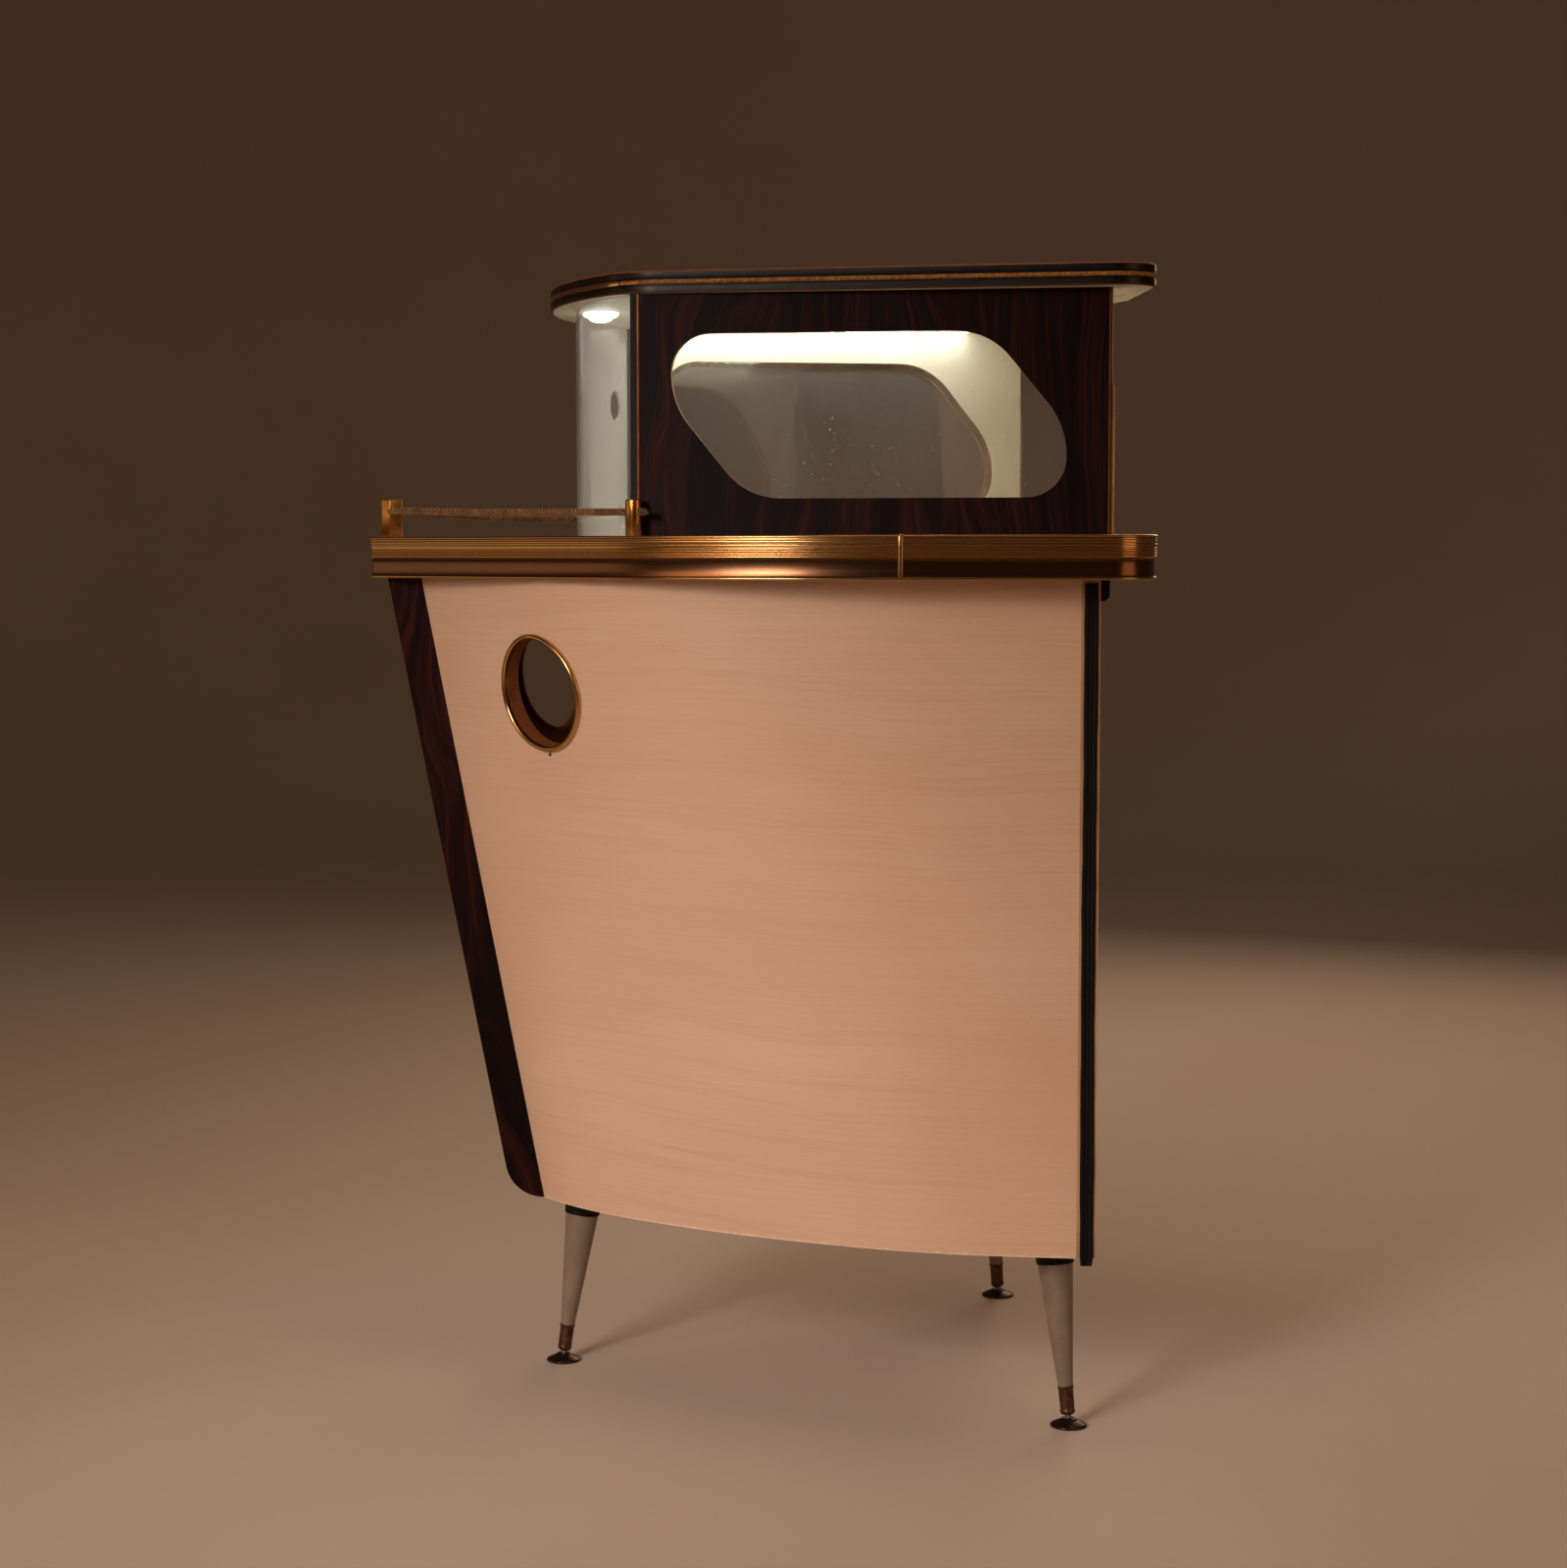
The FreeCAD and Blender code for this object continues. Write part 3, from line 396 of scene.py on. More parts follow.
def mat_clear(name, tint, dust):
    """Clear sheet with light dust and a few fine wipe marks."""
    M = Mat(name, IOR=1.49)
    M.set("Base Color", tint)
    fleck = M.noise(M.coords((330.0, 330.0, 330.0)), 1.0, 1.0, 0.5)
    haze = M.noise(M.coords((7.0, 7.0, 3.0) if dust < 0.2 else (46.0, 46.0, 2.6)), 1.0, 4.0, 0.6)
    wipe = M.noise(M.coords((90.0, 90.0, 3.0), rot=(0.2, 0.3, 0.0)), 1.0, 3.0, 0.6)
    f = M.math("ADD", M.mapr(fleck, 0.74, 0.80, 0.0, 0.55), M.math("MULTIPLY", M.mapr(haze, 0.4, 0.75, 0.35 if dust < 0.2 else 0.8, 1.0), dust), clamp=True)
    if dust > 0.2:
        far = M.mapr(M.xyz(M.coords())["Y"], -0.03, 0.03, 0.35, 1.55)
        f = M.math("MULTIPLY", f, far, clamp=True)
        lw = M.nt.nodes.new("ShaderNodeLayerWeight")
        lw.inputs["Blend"].default_value = 0.5
        f = M.math("ADD", f, M.mapr(lw.outputs["Facing"], 0.45, 0.95, 0.0, 0.4), clamp=True)
    M.set("Transmission Weight", M.math("SUBTRACT", 1.0, f))
    M.set("Roughness", M.mapr(wipe, 0.45, 0.8, 0.0, 0.02))
    return M.m


def mat_plain(name, col, col2, rough, scale=60.0, bump=0.15, metallic=0.0, coat=0.0, stretch=(1, 1, 1), dist=0.0005, spec=0.5):
    """Two close tones over a noise, with grain in the bump and the roughness."""
    M = Mat(name, Metallic=metallic)
    v = M.coords(tuple(s * scale for s in stretch))
    n = M.noise(v, 1.0, 4.0, 0.6)
    g = M.noise(M.coords(tuple(s * scale * 14 for s in stretch)), 1.0, 2.0, 0.6)
    M.set("Base Color", M.ramp(n, [(0.34, col), (0.7, col2)]))
    M.set("Roughness", M.mapr(g, 0.3, 0.7, max(rough - 0.06, 0.02), rough + 0.07))
    M.set("Coat Weight", coat)
    M.set("Coat Roughness", 0.12)
    M.set("Specular IOR Level", spec)
    M.bump(M.math("ADD", M.math("MULTIPLY", n, 0.4), M.math("MULTIPLY", g, 0.6)), bump, dist)
    return M.m


def mat_rope(name, dim=1.0):
    """Twisted gold-brown cord: fine fibres, uneven dirt."""
    M = Mat(name)
    fib = M.noise(M.coords((900.0, 900.0, 900.0)), 1.0, 3.0, 0.7)
    tone = M.noise(M.coords((70.0, 70.0, 70.0)), 1.0, 3.0, 0.6)
    thread = M.noise(M.coords((420.0, 120.0, 420.0)), 1.0, 2.0, 0.6)
    d = lambda r, g, b: tuple(c * dim for c in srgb(r, g, b))
    col = M.ramp(tone, [(0.3, d(112, 76, 38)), (0.55, d(150, 108, 58)), (0.75, d(188, 144, 86))])
    col = M.mix(M.mapr(fib, 0.48, 0.70, 0.0, 0.5), col, d(66, 40, 20))
    M.set("Base Color", col)
    M.set("Roughness", 0.5)
    M.set("Sheen Weight", 0.2)
    M.bump(M.math("ADD", M.math("MULTIPLY", fib, 0.6), M.math("MULTIPLY", thread, 0.4)), 0.6, 0.0008)
    return M.m


def mat_led(name, strength, col=(1.0, 0.955, 0.86)):
    M = Mat(name)
    n = M.noise(M.coords((240.0, 240.0, 240.0)), 1.0, 2.0, 0.5)
    M.set("Base Color", M.ramp(n, [(0.3, (0.86, 0.84, 0.74)), (0.7, (0.93, 0.92, 0.84))]))
    M.set("Roughness", 0.35)
    M.set("Emission Color", col)
    M.set("Emission Strength", strength)
    return M.m


def mat_laminate():
    M = Mat("counter_laminate")
    lin = M.noise(M.coords((60.0, 60.0, 60.0)), 1.0, 5.0, 0.65)
    spk = M.voronoi(M.coords((420.0, 420.0, 420.0)), 1.0)
    col = M.ramp(lin, [(0.3, srgb(206, 196, 172)), (0.55, srgb(216, 208, 186)), (0.75, srgb(224, 218, 198))])
    col = M.mix(M.mapr(spk, 0.02, 0.16, 0.5, 0.0), col, srgb(176, 158, 124))
    M.set("Base Color", col)
    M.set("Roughness", M.mapr(lin, 0.3, 0.7, 0.24, 0.36))
    M.set("Coat Weight", 0.2)
    M.set("Coat Roughness", 0.12)
    M.bump(spk, 0.05, 0.0002)
    return M.m


def mat_roof_edge():
    """Near-black gloss edging with painted reddish-brown highlight lines along its top and bottom arrises."""
    M = Mat("roof_edging")
    z = M.xyz(M.coords())["Z"]
    top, foot = M.mapr(z, 1.28885, 1.28915, 0.0, 1.0), M.mapr(z, 1.2676, 1.2680, 1.0, 0.0)
    n = M.noise(M.coords((30.0, 30.0, 500.0)), 1.0, 4.0, 0.6)
    sc = M.noise(M.coords((60.0, 60.0, 60.0)), 1.0, 4.0, 0.65)
    col = M.ramp(n, [(0.35, srgb(8, 4, 4)), (0.7, srgb(17, 8, 7))])
    # painted highlight lines: a light one along the top arris, a darker one along the bottom arris
    col = M.mix(M.math("MULTIPLY", top, M.mapr(sc, 0.3, 0.6, 0.6, 1.0)), col, srgb(164, 90, 46))
    col = M.mix(M.math("MULTIPLY", foot, M.mapr(sc, 0.3, 0.6, 0.6, 1.0)), col, srgb(92, 50, 30))
    M.set("Base Color", col)
    M.set("Roughness", M.mapr(sc, 0.3, 0.7, 0.30, 0.44))
    M.set("Specular IOR Level", 0.25)
    M.set("Coat Weight", 0.06)
    M.set("Coat Roughness", 0.14)
    M.bump(n, 0.1, 0.0003)
    return M.m


GOLD, GOLD_D = srgb(192, 148, 94), srgb(124, 90, 52)
BRASS, BRASS_D = srgb(190, 134, 68), srgb(104, 66, 30)
M_MAPLE = mat_maple()
M_ROSE_WALL = mat_rosewood("rosewood_wall", "Z", cut=True)
M_ROSE_STEM = mat_rosewood("rosewood_raked", "Z", shear=0.1917)
M_ROSE_TOP = mat_rosewood("rosewood_roof", "X")
M_ROSE_RAIL = mat_rosewood("rosewood_rail", "Y")
M_RAW = mat_raw_wood()
M_PLY = mat_ply("carcass_ply", srgb(196, 154, 108), srgb(158, 114, 74))
M_LAM = mat_laminate()
M_TRIM = mat_metal("edging_gold", GOLD, GOLD_D, 0.20, "Z", 1400.0, 0.10, draw=0.04, relief=0.03)
# darker bronze for the cove under the ribs: painted shade and dark reflection, with a little patina
M_COVE_SHADE = mat_metal("edging_cove_painted_shade", srgb(112, 78, 54), srgb(70, 46, 32), 0.21, "Z", 1400.0, 0.10, draw=0.04, relief=0.02)
M_BRASS = mat_metal("aged_brass", BRASS, BRASS_D, 0.24, "N", 0, 0.45)
M_BRASS_P = mat_metal("polished_brass", srgb(214, 170, 112), srgb(138, 98, 56), 0.15, "N", 0, 0.25)
M_SLEEVE = mat_plain("porthole_sleeve", srgb(150, 88, 50), srgb(182, 112, 66), 0.42, 60.0, 0.2, metallic=0.35)
M_BRAID = mat_plain("twisted_gilt_cord", srgb(150, 96, 44), srgb(214, 158, 84), 0.42, 260.0, 0.2, metallic=0.65)
M_STRIP = mat_metal("brass_strip", srgb(96, 60, 34), srgb(52, 30, 18), 0.36, "V", 500.0, 0.4)
M_CREAM = mat_white_panel()
M_LINER = mat_liner()
M_PANE = mat_clear("window_sheet", (0.955, 0.965, 0.955), 0.06)
M_SCREEN = mat_clear("curved_sheet", (0.92, 0.945, 0.93), 0.26)
M_EDGE = mat_roof_edge()
M_LEG = mat_plain("leg_enamel", srgb(126, 108, 92), srgb(142, 123, 106), 0.34, 40.0, 0.12, coat=0.25)
M_DARK = mat_plain("oxidised_metal", srgb(66, 44, 32), srgb(116, 80, 54), 0.40, 130.0, 0.5, metallic=0.85)
M_PAD = mat_plain("pad_metal", srgb(44, 38, 34), srgb(84, 72, 62), 0.3, 90.0, 0.3, metallic=0.9)
M_RUBBER = mat_plain("black_rubber", srgb(7, 6, 5), srgb(16, 14, 12), 0.72, 120.0, 0.45, spec=0.2)
M_ROPE = mat_rope("rope_cord")
# the same cord dimmed to 0.45 for the knot: painted shade
M_KNOT_SHADE = mat_rope("rope_knot_cord_painted_shade", 0.45)
# dark core inside the strands: painted shade that fills the gaps between them
M_CORE_SHADE = mat_plain("rope_core_painted_shade", srgb(34, 20, 12), srgb(52, 32, 18), 0.85, 300.0, 0.3, spec=0.1)
# dark tone for the strand faces towards the rope's middle: painted shade in the furrows
M_FURROW_SHADE = mat_plain("rope_furrow_painted_shade", srgb(62, 30, 16), srgb(88, 48, 24), 0.8, 300.0, 0.3, spec=0.1)
M_BLACK = mat_plain("black_plastic", srgb(10, 9, 9), srgb(20, 18, 18), 0.5, 150.0, 0.2, spec=0.2)
M_WHITE = mat_plain("white_plastic", srgb(226, 225, 220), srgb(238, 238, 234), 0.38, 90.0, 0.1)
M_STEEL = mat_plain("zinc_steel", srgb(156, 156, 154), srgb(190, 190, 186), 0.3, 200.0, 0.2, metallic=1.0)
M_RING = mat_plain("collar_steel", srgb(120, 122, 126), srgb(158, 160, 164), 0.3, 140.0, 0.2, metallic=1.0)
M_LED = mat_led("led_point", 230.0)
M_LEDS = mat_led("led_carrier", 22.0)
M_LAMP = mat_led("lamp_lens", 110.0, (0.95, 0.98, 1.0))
# emission on the white bezel round the lamp: painted glow
M_BEZEL_GLOW = mat_led("lamp_ring_painted_glow", 16.0, (0.95, 0.98, 1.0))

CAD_LOOK = {
    "hull_panel_port": M_MAPLE, "hull_panel_starboard": M_MAPLE, "stem_post": M_ROSE_STEM,
    "bottom_board": M_PLY, "inner_shelf": M_PLY, "shelf_cleats": M_RAW, "top_rails": M_RAW,
    "rear_batten_port": M_RAW, "rear_batten_starboard": M_RAW, "seal_strip_port": M_RUBBER, "seal_strip_starboard": M_RUBBER,
    "rear_apron_rail": M_ROSE_RAIL, "porthole_ring_port": M_BRASS_P, "porthole_ring_starboard": M_BRASS_P,
    "counter_board": M_PLY, "counter_laminate": M_LAM, "counter_trim": M_TRIM, "trim_joint_clips": M_TRIM,
    "leg_blocks": M_BLACK, "leg_screws": M_STEEL, "leg_prow": M_LEG, "leg_port": M_LEG, "leg_starboard": M_LEG,
    "ferrule_prow": M_DARK, "ferrule_port": M_DARK, "ferrule_starboard": M_DARK, "glide_stems": M_STEEL,
    "foot_pad_prow": M_PAD, "foot_pad_port": M_PAD, "foot_pad_starboard": M_PAD,
    "cabin_side_port": M_ROSE_WALL, "cabin_side_starboard": M_ROSE_WALL, "cabin_liner_port": M_LINER, "cabin_liner_starboard": M_LINER,
    "window_pane_port": M_PANE, "window_pane_starboard": M_PANE, "cabin_edge_strips": M_STRIP, "screen_channels": M_BLACK,
    "windscreen": M_SCREEN, "rear_guard_battens": M_RAW, "roof_board": M_ROSE_TOP, "roof_ceiling": M_CREAM,
    "roof_edge_band": M_EDGE, "roof_gold_line": M_BRASS, "led_strips": M_LEDS, "downlight_rim": M_WHITE, "downlight_lens": M_LAMP,
    "led_driver": M_WHITE, "switch_rocker": M_BLACK, "wire_trunking": M_WHITE, "cable_gland": M_BLACK,
    "prow_post": M_BRASS, "side_post_port": M_BRASS, "side_post_starboard": M_BRASS,
    "rope_port": M_ROPE, "rope_starboard": M_ROPE, "rope_knot_port": M_ROPE, "rope_knot_starboard": M_ROPE,
}
for name, ob in NODES.items():
    ob.data.materials.clear()
    ob.data.materials.append(CAD_LOOK[name])


# ============================================================================ mesh helpers
def piece(name, verts, faces, mat, slot=None, body="cabinet", replaces=(), angle=35.0, mats=None, face_mats=None):
    me = bpy.data.meshes.new(name)
    me.from_pydata([(v[0] + OX, v[1], v[2]) for v in verts], [], faces)
    bm = bmesh.new()
    bm.from_mesh(me)
    bmesh.ops.remove_doubles(bm, verts=bm.verts, dist=2e-7)
    bmesh.ops.recalc_face_normals(bm, faces=bm.faces)
    bm.to_mesh(me)
    bm.free()
    for m in (mats or [mat]):
        me.materials.append(m)
    if face_mats is not None and len(face_mats) == len(me.polygons):
        me.polygons.foreach_set("material_index", face_mats)
    me.polygons.foreach_set("use_smooth", [True] * len(me.polygons))
    me.set_sharp_from_angle(angle=math.radians(angle))
    me.update()
    ob = bpy.data.objects.new(name, me)
    SC.collection.objects.link(ob)
    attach(ob, body)
    if replaces:
        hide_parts(*replaces)
    return ob


class Build:
    """Gathers several closed shapes into one mesh."""

    def __init__(self):
        self.v, self.f, self.k = [], [], []

    def add(self, verts, faces, k=0):
        n = len(self.v)
        self.v += [tuple(v) for v in verts]
        self.f += [tuple(i + n for i in f) for f in faces]
        self.k += list(k) if hasattr(k, "__len__") else [k] * len(faces)

    def make(self, name, mats, **kw):
        return piece(name, self.v, self.f, None, mats=mats if isinstance(mats, list) else [mats], face_mats=self.k, **kw)


def rings_to_mesh(rings, closed_path, caps=True):
    """rings: list of equal-length closed loops of points."""
    n, m = len(rings), len(rings[0])
    v = [p for r in rings for p in r]
    f = []
    for i in range(n if closed_path else n - 1):
        j = (i + 1) % n
        for a in range(m):
            b = (a + 1) % m
            f.append((i * m + a, i * m + b, j * m + b, j * m + a))
    if not closed_path and caps:
        f.append(tuple(range(m)))
        f.append(tuple((n - 1) * m + a for a in range(m))[::-1])
    return v, f


def lathe(profile, centre, axis, seg=48, closed_profile=False):
    """profile: (radius, height) along the axis; ends on the axis close the shape."""
    ax = Vector(axis).normalized()
    u = ax.orthogonal().normalized()
    w = ax.cross(u)
    c = Vector(centre)
    v, f, rows = [], [], []
    for r, h in profile:
        if r < 1e-9:
            rows.append([len(v)])
            v.append(c + ax * h)
        else:
            rows.append(list(range(len(v), len(v) + seg)))
            for k in range(seg):
                a = 2 * math.pi * k / seg
                v.append(c + ax * h + (u * math.cos(a) + w * math.sin(a)) * r)
    pairs = list(zip(rows, rows[1:]))
    if closed_profile:
        pairs.append((rows[-1], rows[0]))
    for a, b in pairs:
        for k in range(seg):
            l = (k + 1) % seg
            if len(a) == 1 and len(b) == 1:
                break
            if len(a) == 1:
                f.append((a[0], b[l], b[k]))
            elif len(b) == 1:
                f.append((a[k], a[l], b[0]))
            else:
                f.append((a[k], a[l], b[l], b[k]))
    return v, f


def frames(path, closed=False):
    """Tangent, side and up at every point of a path, turning as little as it can."""
    n = len(path)
    tan = []
    for i in range(n):
        a = path[(i - 1) % n] if (closed or i > 0) else path[i]
        b = path[(i + 1) % n] if (closed or i < n - 1) else path[i]
        tan.append((b - a).normalized())
    s = tan[0].orthogonal().normalized()
    out = []
    for i in range(n):
        s = (s - tan[i] * s.dot(tan[i])).normalized()
        out.append((tan[i], s, tan[i].cross(s)))
    return out


def tube_rings(path, radius, seg=12, closed=False):
    fr = frames(path, closed)
    out = []
    for i, p in enumerate(path):
        r = radius[i] if hasattr(radius, "__len__") else radius
        t, s, w = fr[i]
        out.append([p + (s * math.cos(2 * math.pi * k / seg) + w * math.sin(2 * math.pi * k / seg)) * r for k in range(seg)])
    return out


def twisted(path, strands, centre_r, strand_r, pitch, seg=10, phase=0.0, squash=None, taper=0):
    """Strands wound round a path. squash is not used."""
    fr = frames(path)
    length = [0.0]
    for a, b in zip(path, path[1:]):
        length.append(length[-1] + (b - a).length)
    res = []
    for k in range(strands):
        line = []
        for i, p in enumerate(path):
            a = phase + 2 * math.pi * (k / strands + length[i] / pitch)
            t, s, w = fr[i]
            line.append(p + (s * math.cos(a) + w * math.sin(a)) * centre_r)
        res.append(line)
    return res


def rounded_outline(poly, arc_step=3.0, line_step=None):
    """Outline of lines and tangent arcs as (x, y, nx, ny), anticlockwise, metres."""
    n = len(poly)
    segs = []
    for i in range(n):
        (px, py), r = poly[i]
        ax, ay = poly[i - 1][0]
        bx, by = poly[(i + 1) % n][0]
        ux, uy, wx, wy = ax - px, ay - py, bx - px, by - py
        lu, lw = math.hypot(ux, uy), math.hypot(wx, wy)
        ux, uy, wx, wy = ux / lu, uy / lu, wx / lw, wy / lw
        ang = math.acos(max(-1, min(1, ux * wx + uy * wy)))
        t = r / math.tan(ang / 2)
        hx, hy = ux + wx, uy + wy
        lh = math.hypot(hx, hy)
        k = r / math.sin(ang / 2)
        cx, cy = px + hx / lh * k, py + hy / lh * k
        s, e = (px + ux * t, py + uy * t), (px + wx * t, py + wy * t)
        a0 = math.atan2(s[1] - cy, s[0] - cx)
        a1 = math.atan2(e[1] - cy, e[0] - cx)
        hollow = (px - ax) * (by - py) - (py - ay) * (bx - px) < 0
        if hollow:
            while a1 > a0:
                a1 -= 2 * math.pi
        else:
            while a1 < a0:
                a1 += 2 * math.pi
        g = -1.0 if hollow else 1.0
        m = max(2, int(math.ceil(math.degrees(abs(a1 - a0)) / arc_step)))
        segs.append([(cx + r * math.cos(a0 + (a1 - a0) * j / m), cy + r * math.sin(a0 + (a1 - a0) * j / m),
                      g * math.cos(a0 + (a1 - a0) * j / m), g * math.sin(a0 + (a1 - a0) * j / m)) for j in range(m + 1)])
    out = []
    for i in range(n):
        out += segs[i]
        if line_step:
            a, b = segs[i][-1], segs[(i + 1) % n][0]
            L = math.hypot(b[0] - a[0], b[1] - a[1])
            m = int(L / line_step)
            for j in range(1, m):
                t = j / m
                out.append((a[0] + (b[0] - a[0]) * t, a[1] + (b[1] - a[1]) * t, a[2], a[3]))
    res = []
    for q in out:
        if not res or math.hypot(q[0] - res[-1][0], q[1] - res[-1][1]) > 1e-3:
            res.append(q)
    if math.hypot(res[0][0] - res[-1][0], res[0][1] - res[-1][1]) < 1e-3:
        res.pop()
    return [(x * MM, y * MM, nx, ny) for x, y, nx, ny in res]


def sweep(outline, profile, closed=True):
    """profile: closed loop of (depth inwards, z) in millimetres."""
    rings = [[V(x - nx * d * MM, y - ny * d * MM, z * MM) for d, z in profile] for x, y, nx, ny in outline]
    return rings_to_mesh(rings, closed)


def both(half):
    return half + [((x, -y), r) for (x, y), r in reversed(half)]


COUNTER = both([((-431.0, -14.0), 6.0), ((-68.1, -421.2), 592.0), ((440.0, -442.8), 55.0)])
ROOF = both([((-215.0, -132.7), 496.0), ((-131.3, -281.2), 82.0), ((440.0, -412.0), 45.0), ((444.0, -186.0), 50.0), ((410.0, -60.0), 200.0)])

# ============================================================================ counter edging
TOP = 1000.0


def edging_profile():
    """Section of the drawn edging: (depth, z), from the inner lip over the top, down and under."""
    p = [(3.45, TOP + 0.1), (3.5, TOP + 0.7), (2.9, TOP + 1.05), (2.0, TOP + 1.15), (1.1, TOP + 1.0), (0.45, TOP + 0.55), (0.1, TOP - 0.1), (0.0, TOP - 0.8), (0.12, TOP - 1.4), (0.5, TOP - 1.75)]
    # ribs: (top, bottom) below the lip's top, and how far each stands back
    ribs = [(3.2, 5.45, 0.35), (5.75, 8.4, 0.40), (9.8, 11.6, 0.50), (13.7, 15.3, 0.60), (16.1, 17.6, 0.68), (18.3, 19.5, 0.76), (20.2, 21.6, 0.80), (22.4, 24.2, 0.45)]
    top = TOP + 1.15
    deep = 1.55
    for a, b, d in ribs:
        h = b - a
        floor_d = 0.75 if abs(a - 5.75) < 0.01 else deep
        p += [(floor_d, top - a + 0.28), (d + 0.45, top - a + 0.02), (d + 0.12, top - a - 0.18), (d, top - a - 0.42), (d, top - b + 0.42), (d + 0.12, top - b + 0.18), (d + 0.45, top - b - 0.02)]
        if abs(b - 5.45) > 0.01:
            p.append((deep, top - b - 0.28))
    z = top - 24.7
    p += [(1.9, z), (2.35, z - 0.5), (2.75, z - 1.6), (3.05, z - 3.4), (3.2, z - 6.0), (3.25, z - 9.0), (3.15, z - 12.0), (2.9, z - 14.8),
          (2.5, z - 17.2), (2.15, z - 18.8), (1.95, z - 19.6)]
    p += [(1.45, TOP - 44.0), (1.05, TOP - 44.35), (0.9, TOP - 45.0), (0.9, TOP - 45.9), (1.1, TOP - 46.55), (1.7, TOP - 46.95), (3.0, TOP - 47.0), (13.3, TOP - 47.0), (13.5, TOP - 46.6), (13.4, TOP - 46.0), (13.0, TOP - 45.75),
          (4.2, TOP - 45.75), (3.9, TOP - 45.6), (3.85, TOP - 24.0), (3.45, TOP - 23.5)]
    return p


section = edging_profile()
v, f = sweep(rounded_outline(COUNTER, 2.0, 30.0), section)
# faces of the cove take the darker bronze: painted shade and dark reflection in the cove
hollow = [a for a in range(len(section)) if section[a][0] < 3.4 and TOP - 43.9 < section[a][1] < TOP - 23.2 and TOP - 44.1 < section[(a + 1) % len(section)][1] < TOP - 23.2]
piece("counter_edging", v, f, None, "trim_gold", replaces=("counter_trim",), angle=50.0, mats=[M_TRIM, M_COVE_SHADE], face_mats=[1 if i % len(section) in hollow else 0 for i in range(len(f))])

# covers over the two joints of the edging
def outline_point(poly, x, side):
    best = None
    for q in rounded_outline(poly, 0.25, 1.0):
        if q[1] * side > 0 and (best is None or abs(q[0] - x * MM) < best[0]):
            best = (abs(q[0] - x * MM), q)
    return best[1]


cover = Build()
for side in (-1, 1):
    x, y, nx, ny = outline_point(COUNTER, 160.0, side)
    tx, ty = -ny, nx
    path = [(7.5, TOP + 0.35), (4.5, TOP + 1.05), (2.6, TOP + 1.5), (1.0, TOP + 1.55), (-0.1, TOP + 1.2), (-0.75, TOP + 0.3), (-0.95, TOP - 0.9), (-0.95, TOP - 12), (-0.6, TOP - 25), (-0.2, TOP - 35), (0.2, TOP - 45.6), (0.6, TOP - 47.0), (1.6, TOP - 47.8), (3.5, TOP - 48.0), (8.0, TOP - 47.7)]
    rings = []
    for i, (d, z) in enumerate(path):
        a, b = path[max(i - 1, 0)], path[min(i + 1, len(path) - 1)]
        # outward normal of the path in the (outwards, z) plane
        dd, dz = -(b[0] - a[0]), b[1] - a[1]
        l = math.hypot(dd, dz)
        nd, nz = -dz / l, dd / l
        ring = []
        for wd, hh in ((-2.7, -0.9), (-2.7, -0.2), (-2.3, 0.25), (-1.5, 0.6), (-0.5, 0.78), (0.5, 0.78), (1.5, 0.6), (2.3, 0.25), (2.7, -0.2), (2.7, -0.9)):
            out = -d + nd * hh
            ring.append(V(x + nx * out * MM + tx * wd * MM, y + ny * out * MM + ty * wd * MM, (z + nz * hh) * MM))
        rings.append(ring)
    cover.add(*rings_to_mesh(rings, False))
cover.make("edging_joint_covers", M_TRIM, slot="trim_gold", replaces=("trim_joint_clips",), angle=50.0)

# ============================================================================ roof edging
band = [(3.0, 1266.2), (1.0, 1266.2), (0.35, 1266.45), (0.05, 1267.0), (0.0, 1267.8), (0.0, 1274.0), (0.12, 1274.5), (0.5, 1274.8), (1.9, 1274.9),
        (1.9, 1281.6), (0.5, 1281.7), (0.12, 1282.0), (0.0, 1282.5), (0.0, 1288.4), (0.08, 1289.3), (0.4, 1289.9), (1.0, 1290.2), (3.0, 1290.2)]
roof_line = rounded_outline(ROOF, 2.0, 25.0)
v, f = sweep(roof_line, band)
piece("roof_edging", v, f, M_EDGE, "roof_edge", replaces=("roof_edge_band",), angle=45.0)

# the gold line: smooth round the bow, twisted along the sides and the stern
fine_line = rounded_outline(ROOF, 0.5, 2.0)
JOINT_X = -135.8 * MM
bow = [q for q in fine_line if q[0] <= JOINT_X]
# the bow run crosses the start of the list: order it from starboard to port
bow.sort(key=lambda q: -q[1])
rest = [q for q in fine_line if q[0] > JOINT_X]
i0 = next(i for i, q in enumerate(fine_line) if q[0] > JOINT_X and fine_line[i - 1][0] <= JOINT_X)
n_f = len(fine_line)
rest = []
i = i0
while fine_line[i % n_f][0] > JOINT_X:
    rest.append(fine_line[i % n_f])
    i += 1
gold = Build()
strip = [(1.9, 1275.2), (-0.1, 1275.25), (-0.45, 1275.5), (-0.6, 1276.0), (-0.66, 1278.2), (-0.6, 1280.4), (-0.45, 1280.9), (-0.1, 1281.15), (1.9, 1281.2)]
v, f = sweep(bow, strip, closed=False)
gold.add(v, f)
gold.make("roof_line_bow", M_BRASS_P, slot="brass", replaces=("roof_gold_line",), angle=40.0)

braid = Build()
centre = [V(x - nx * 0.85 * MM, y - ny * 0.85 * MM, 1278.2 * MM) for x, y, nx, ny in rest]
nrm = {i: V(q[2], q[3], 0) for i, q in enumerate(rest)}
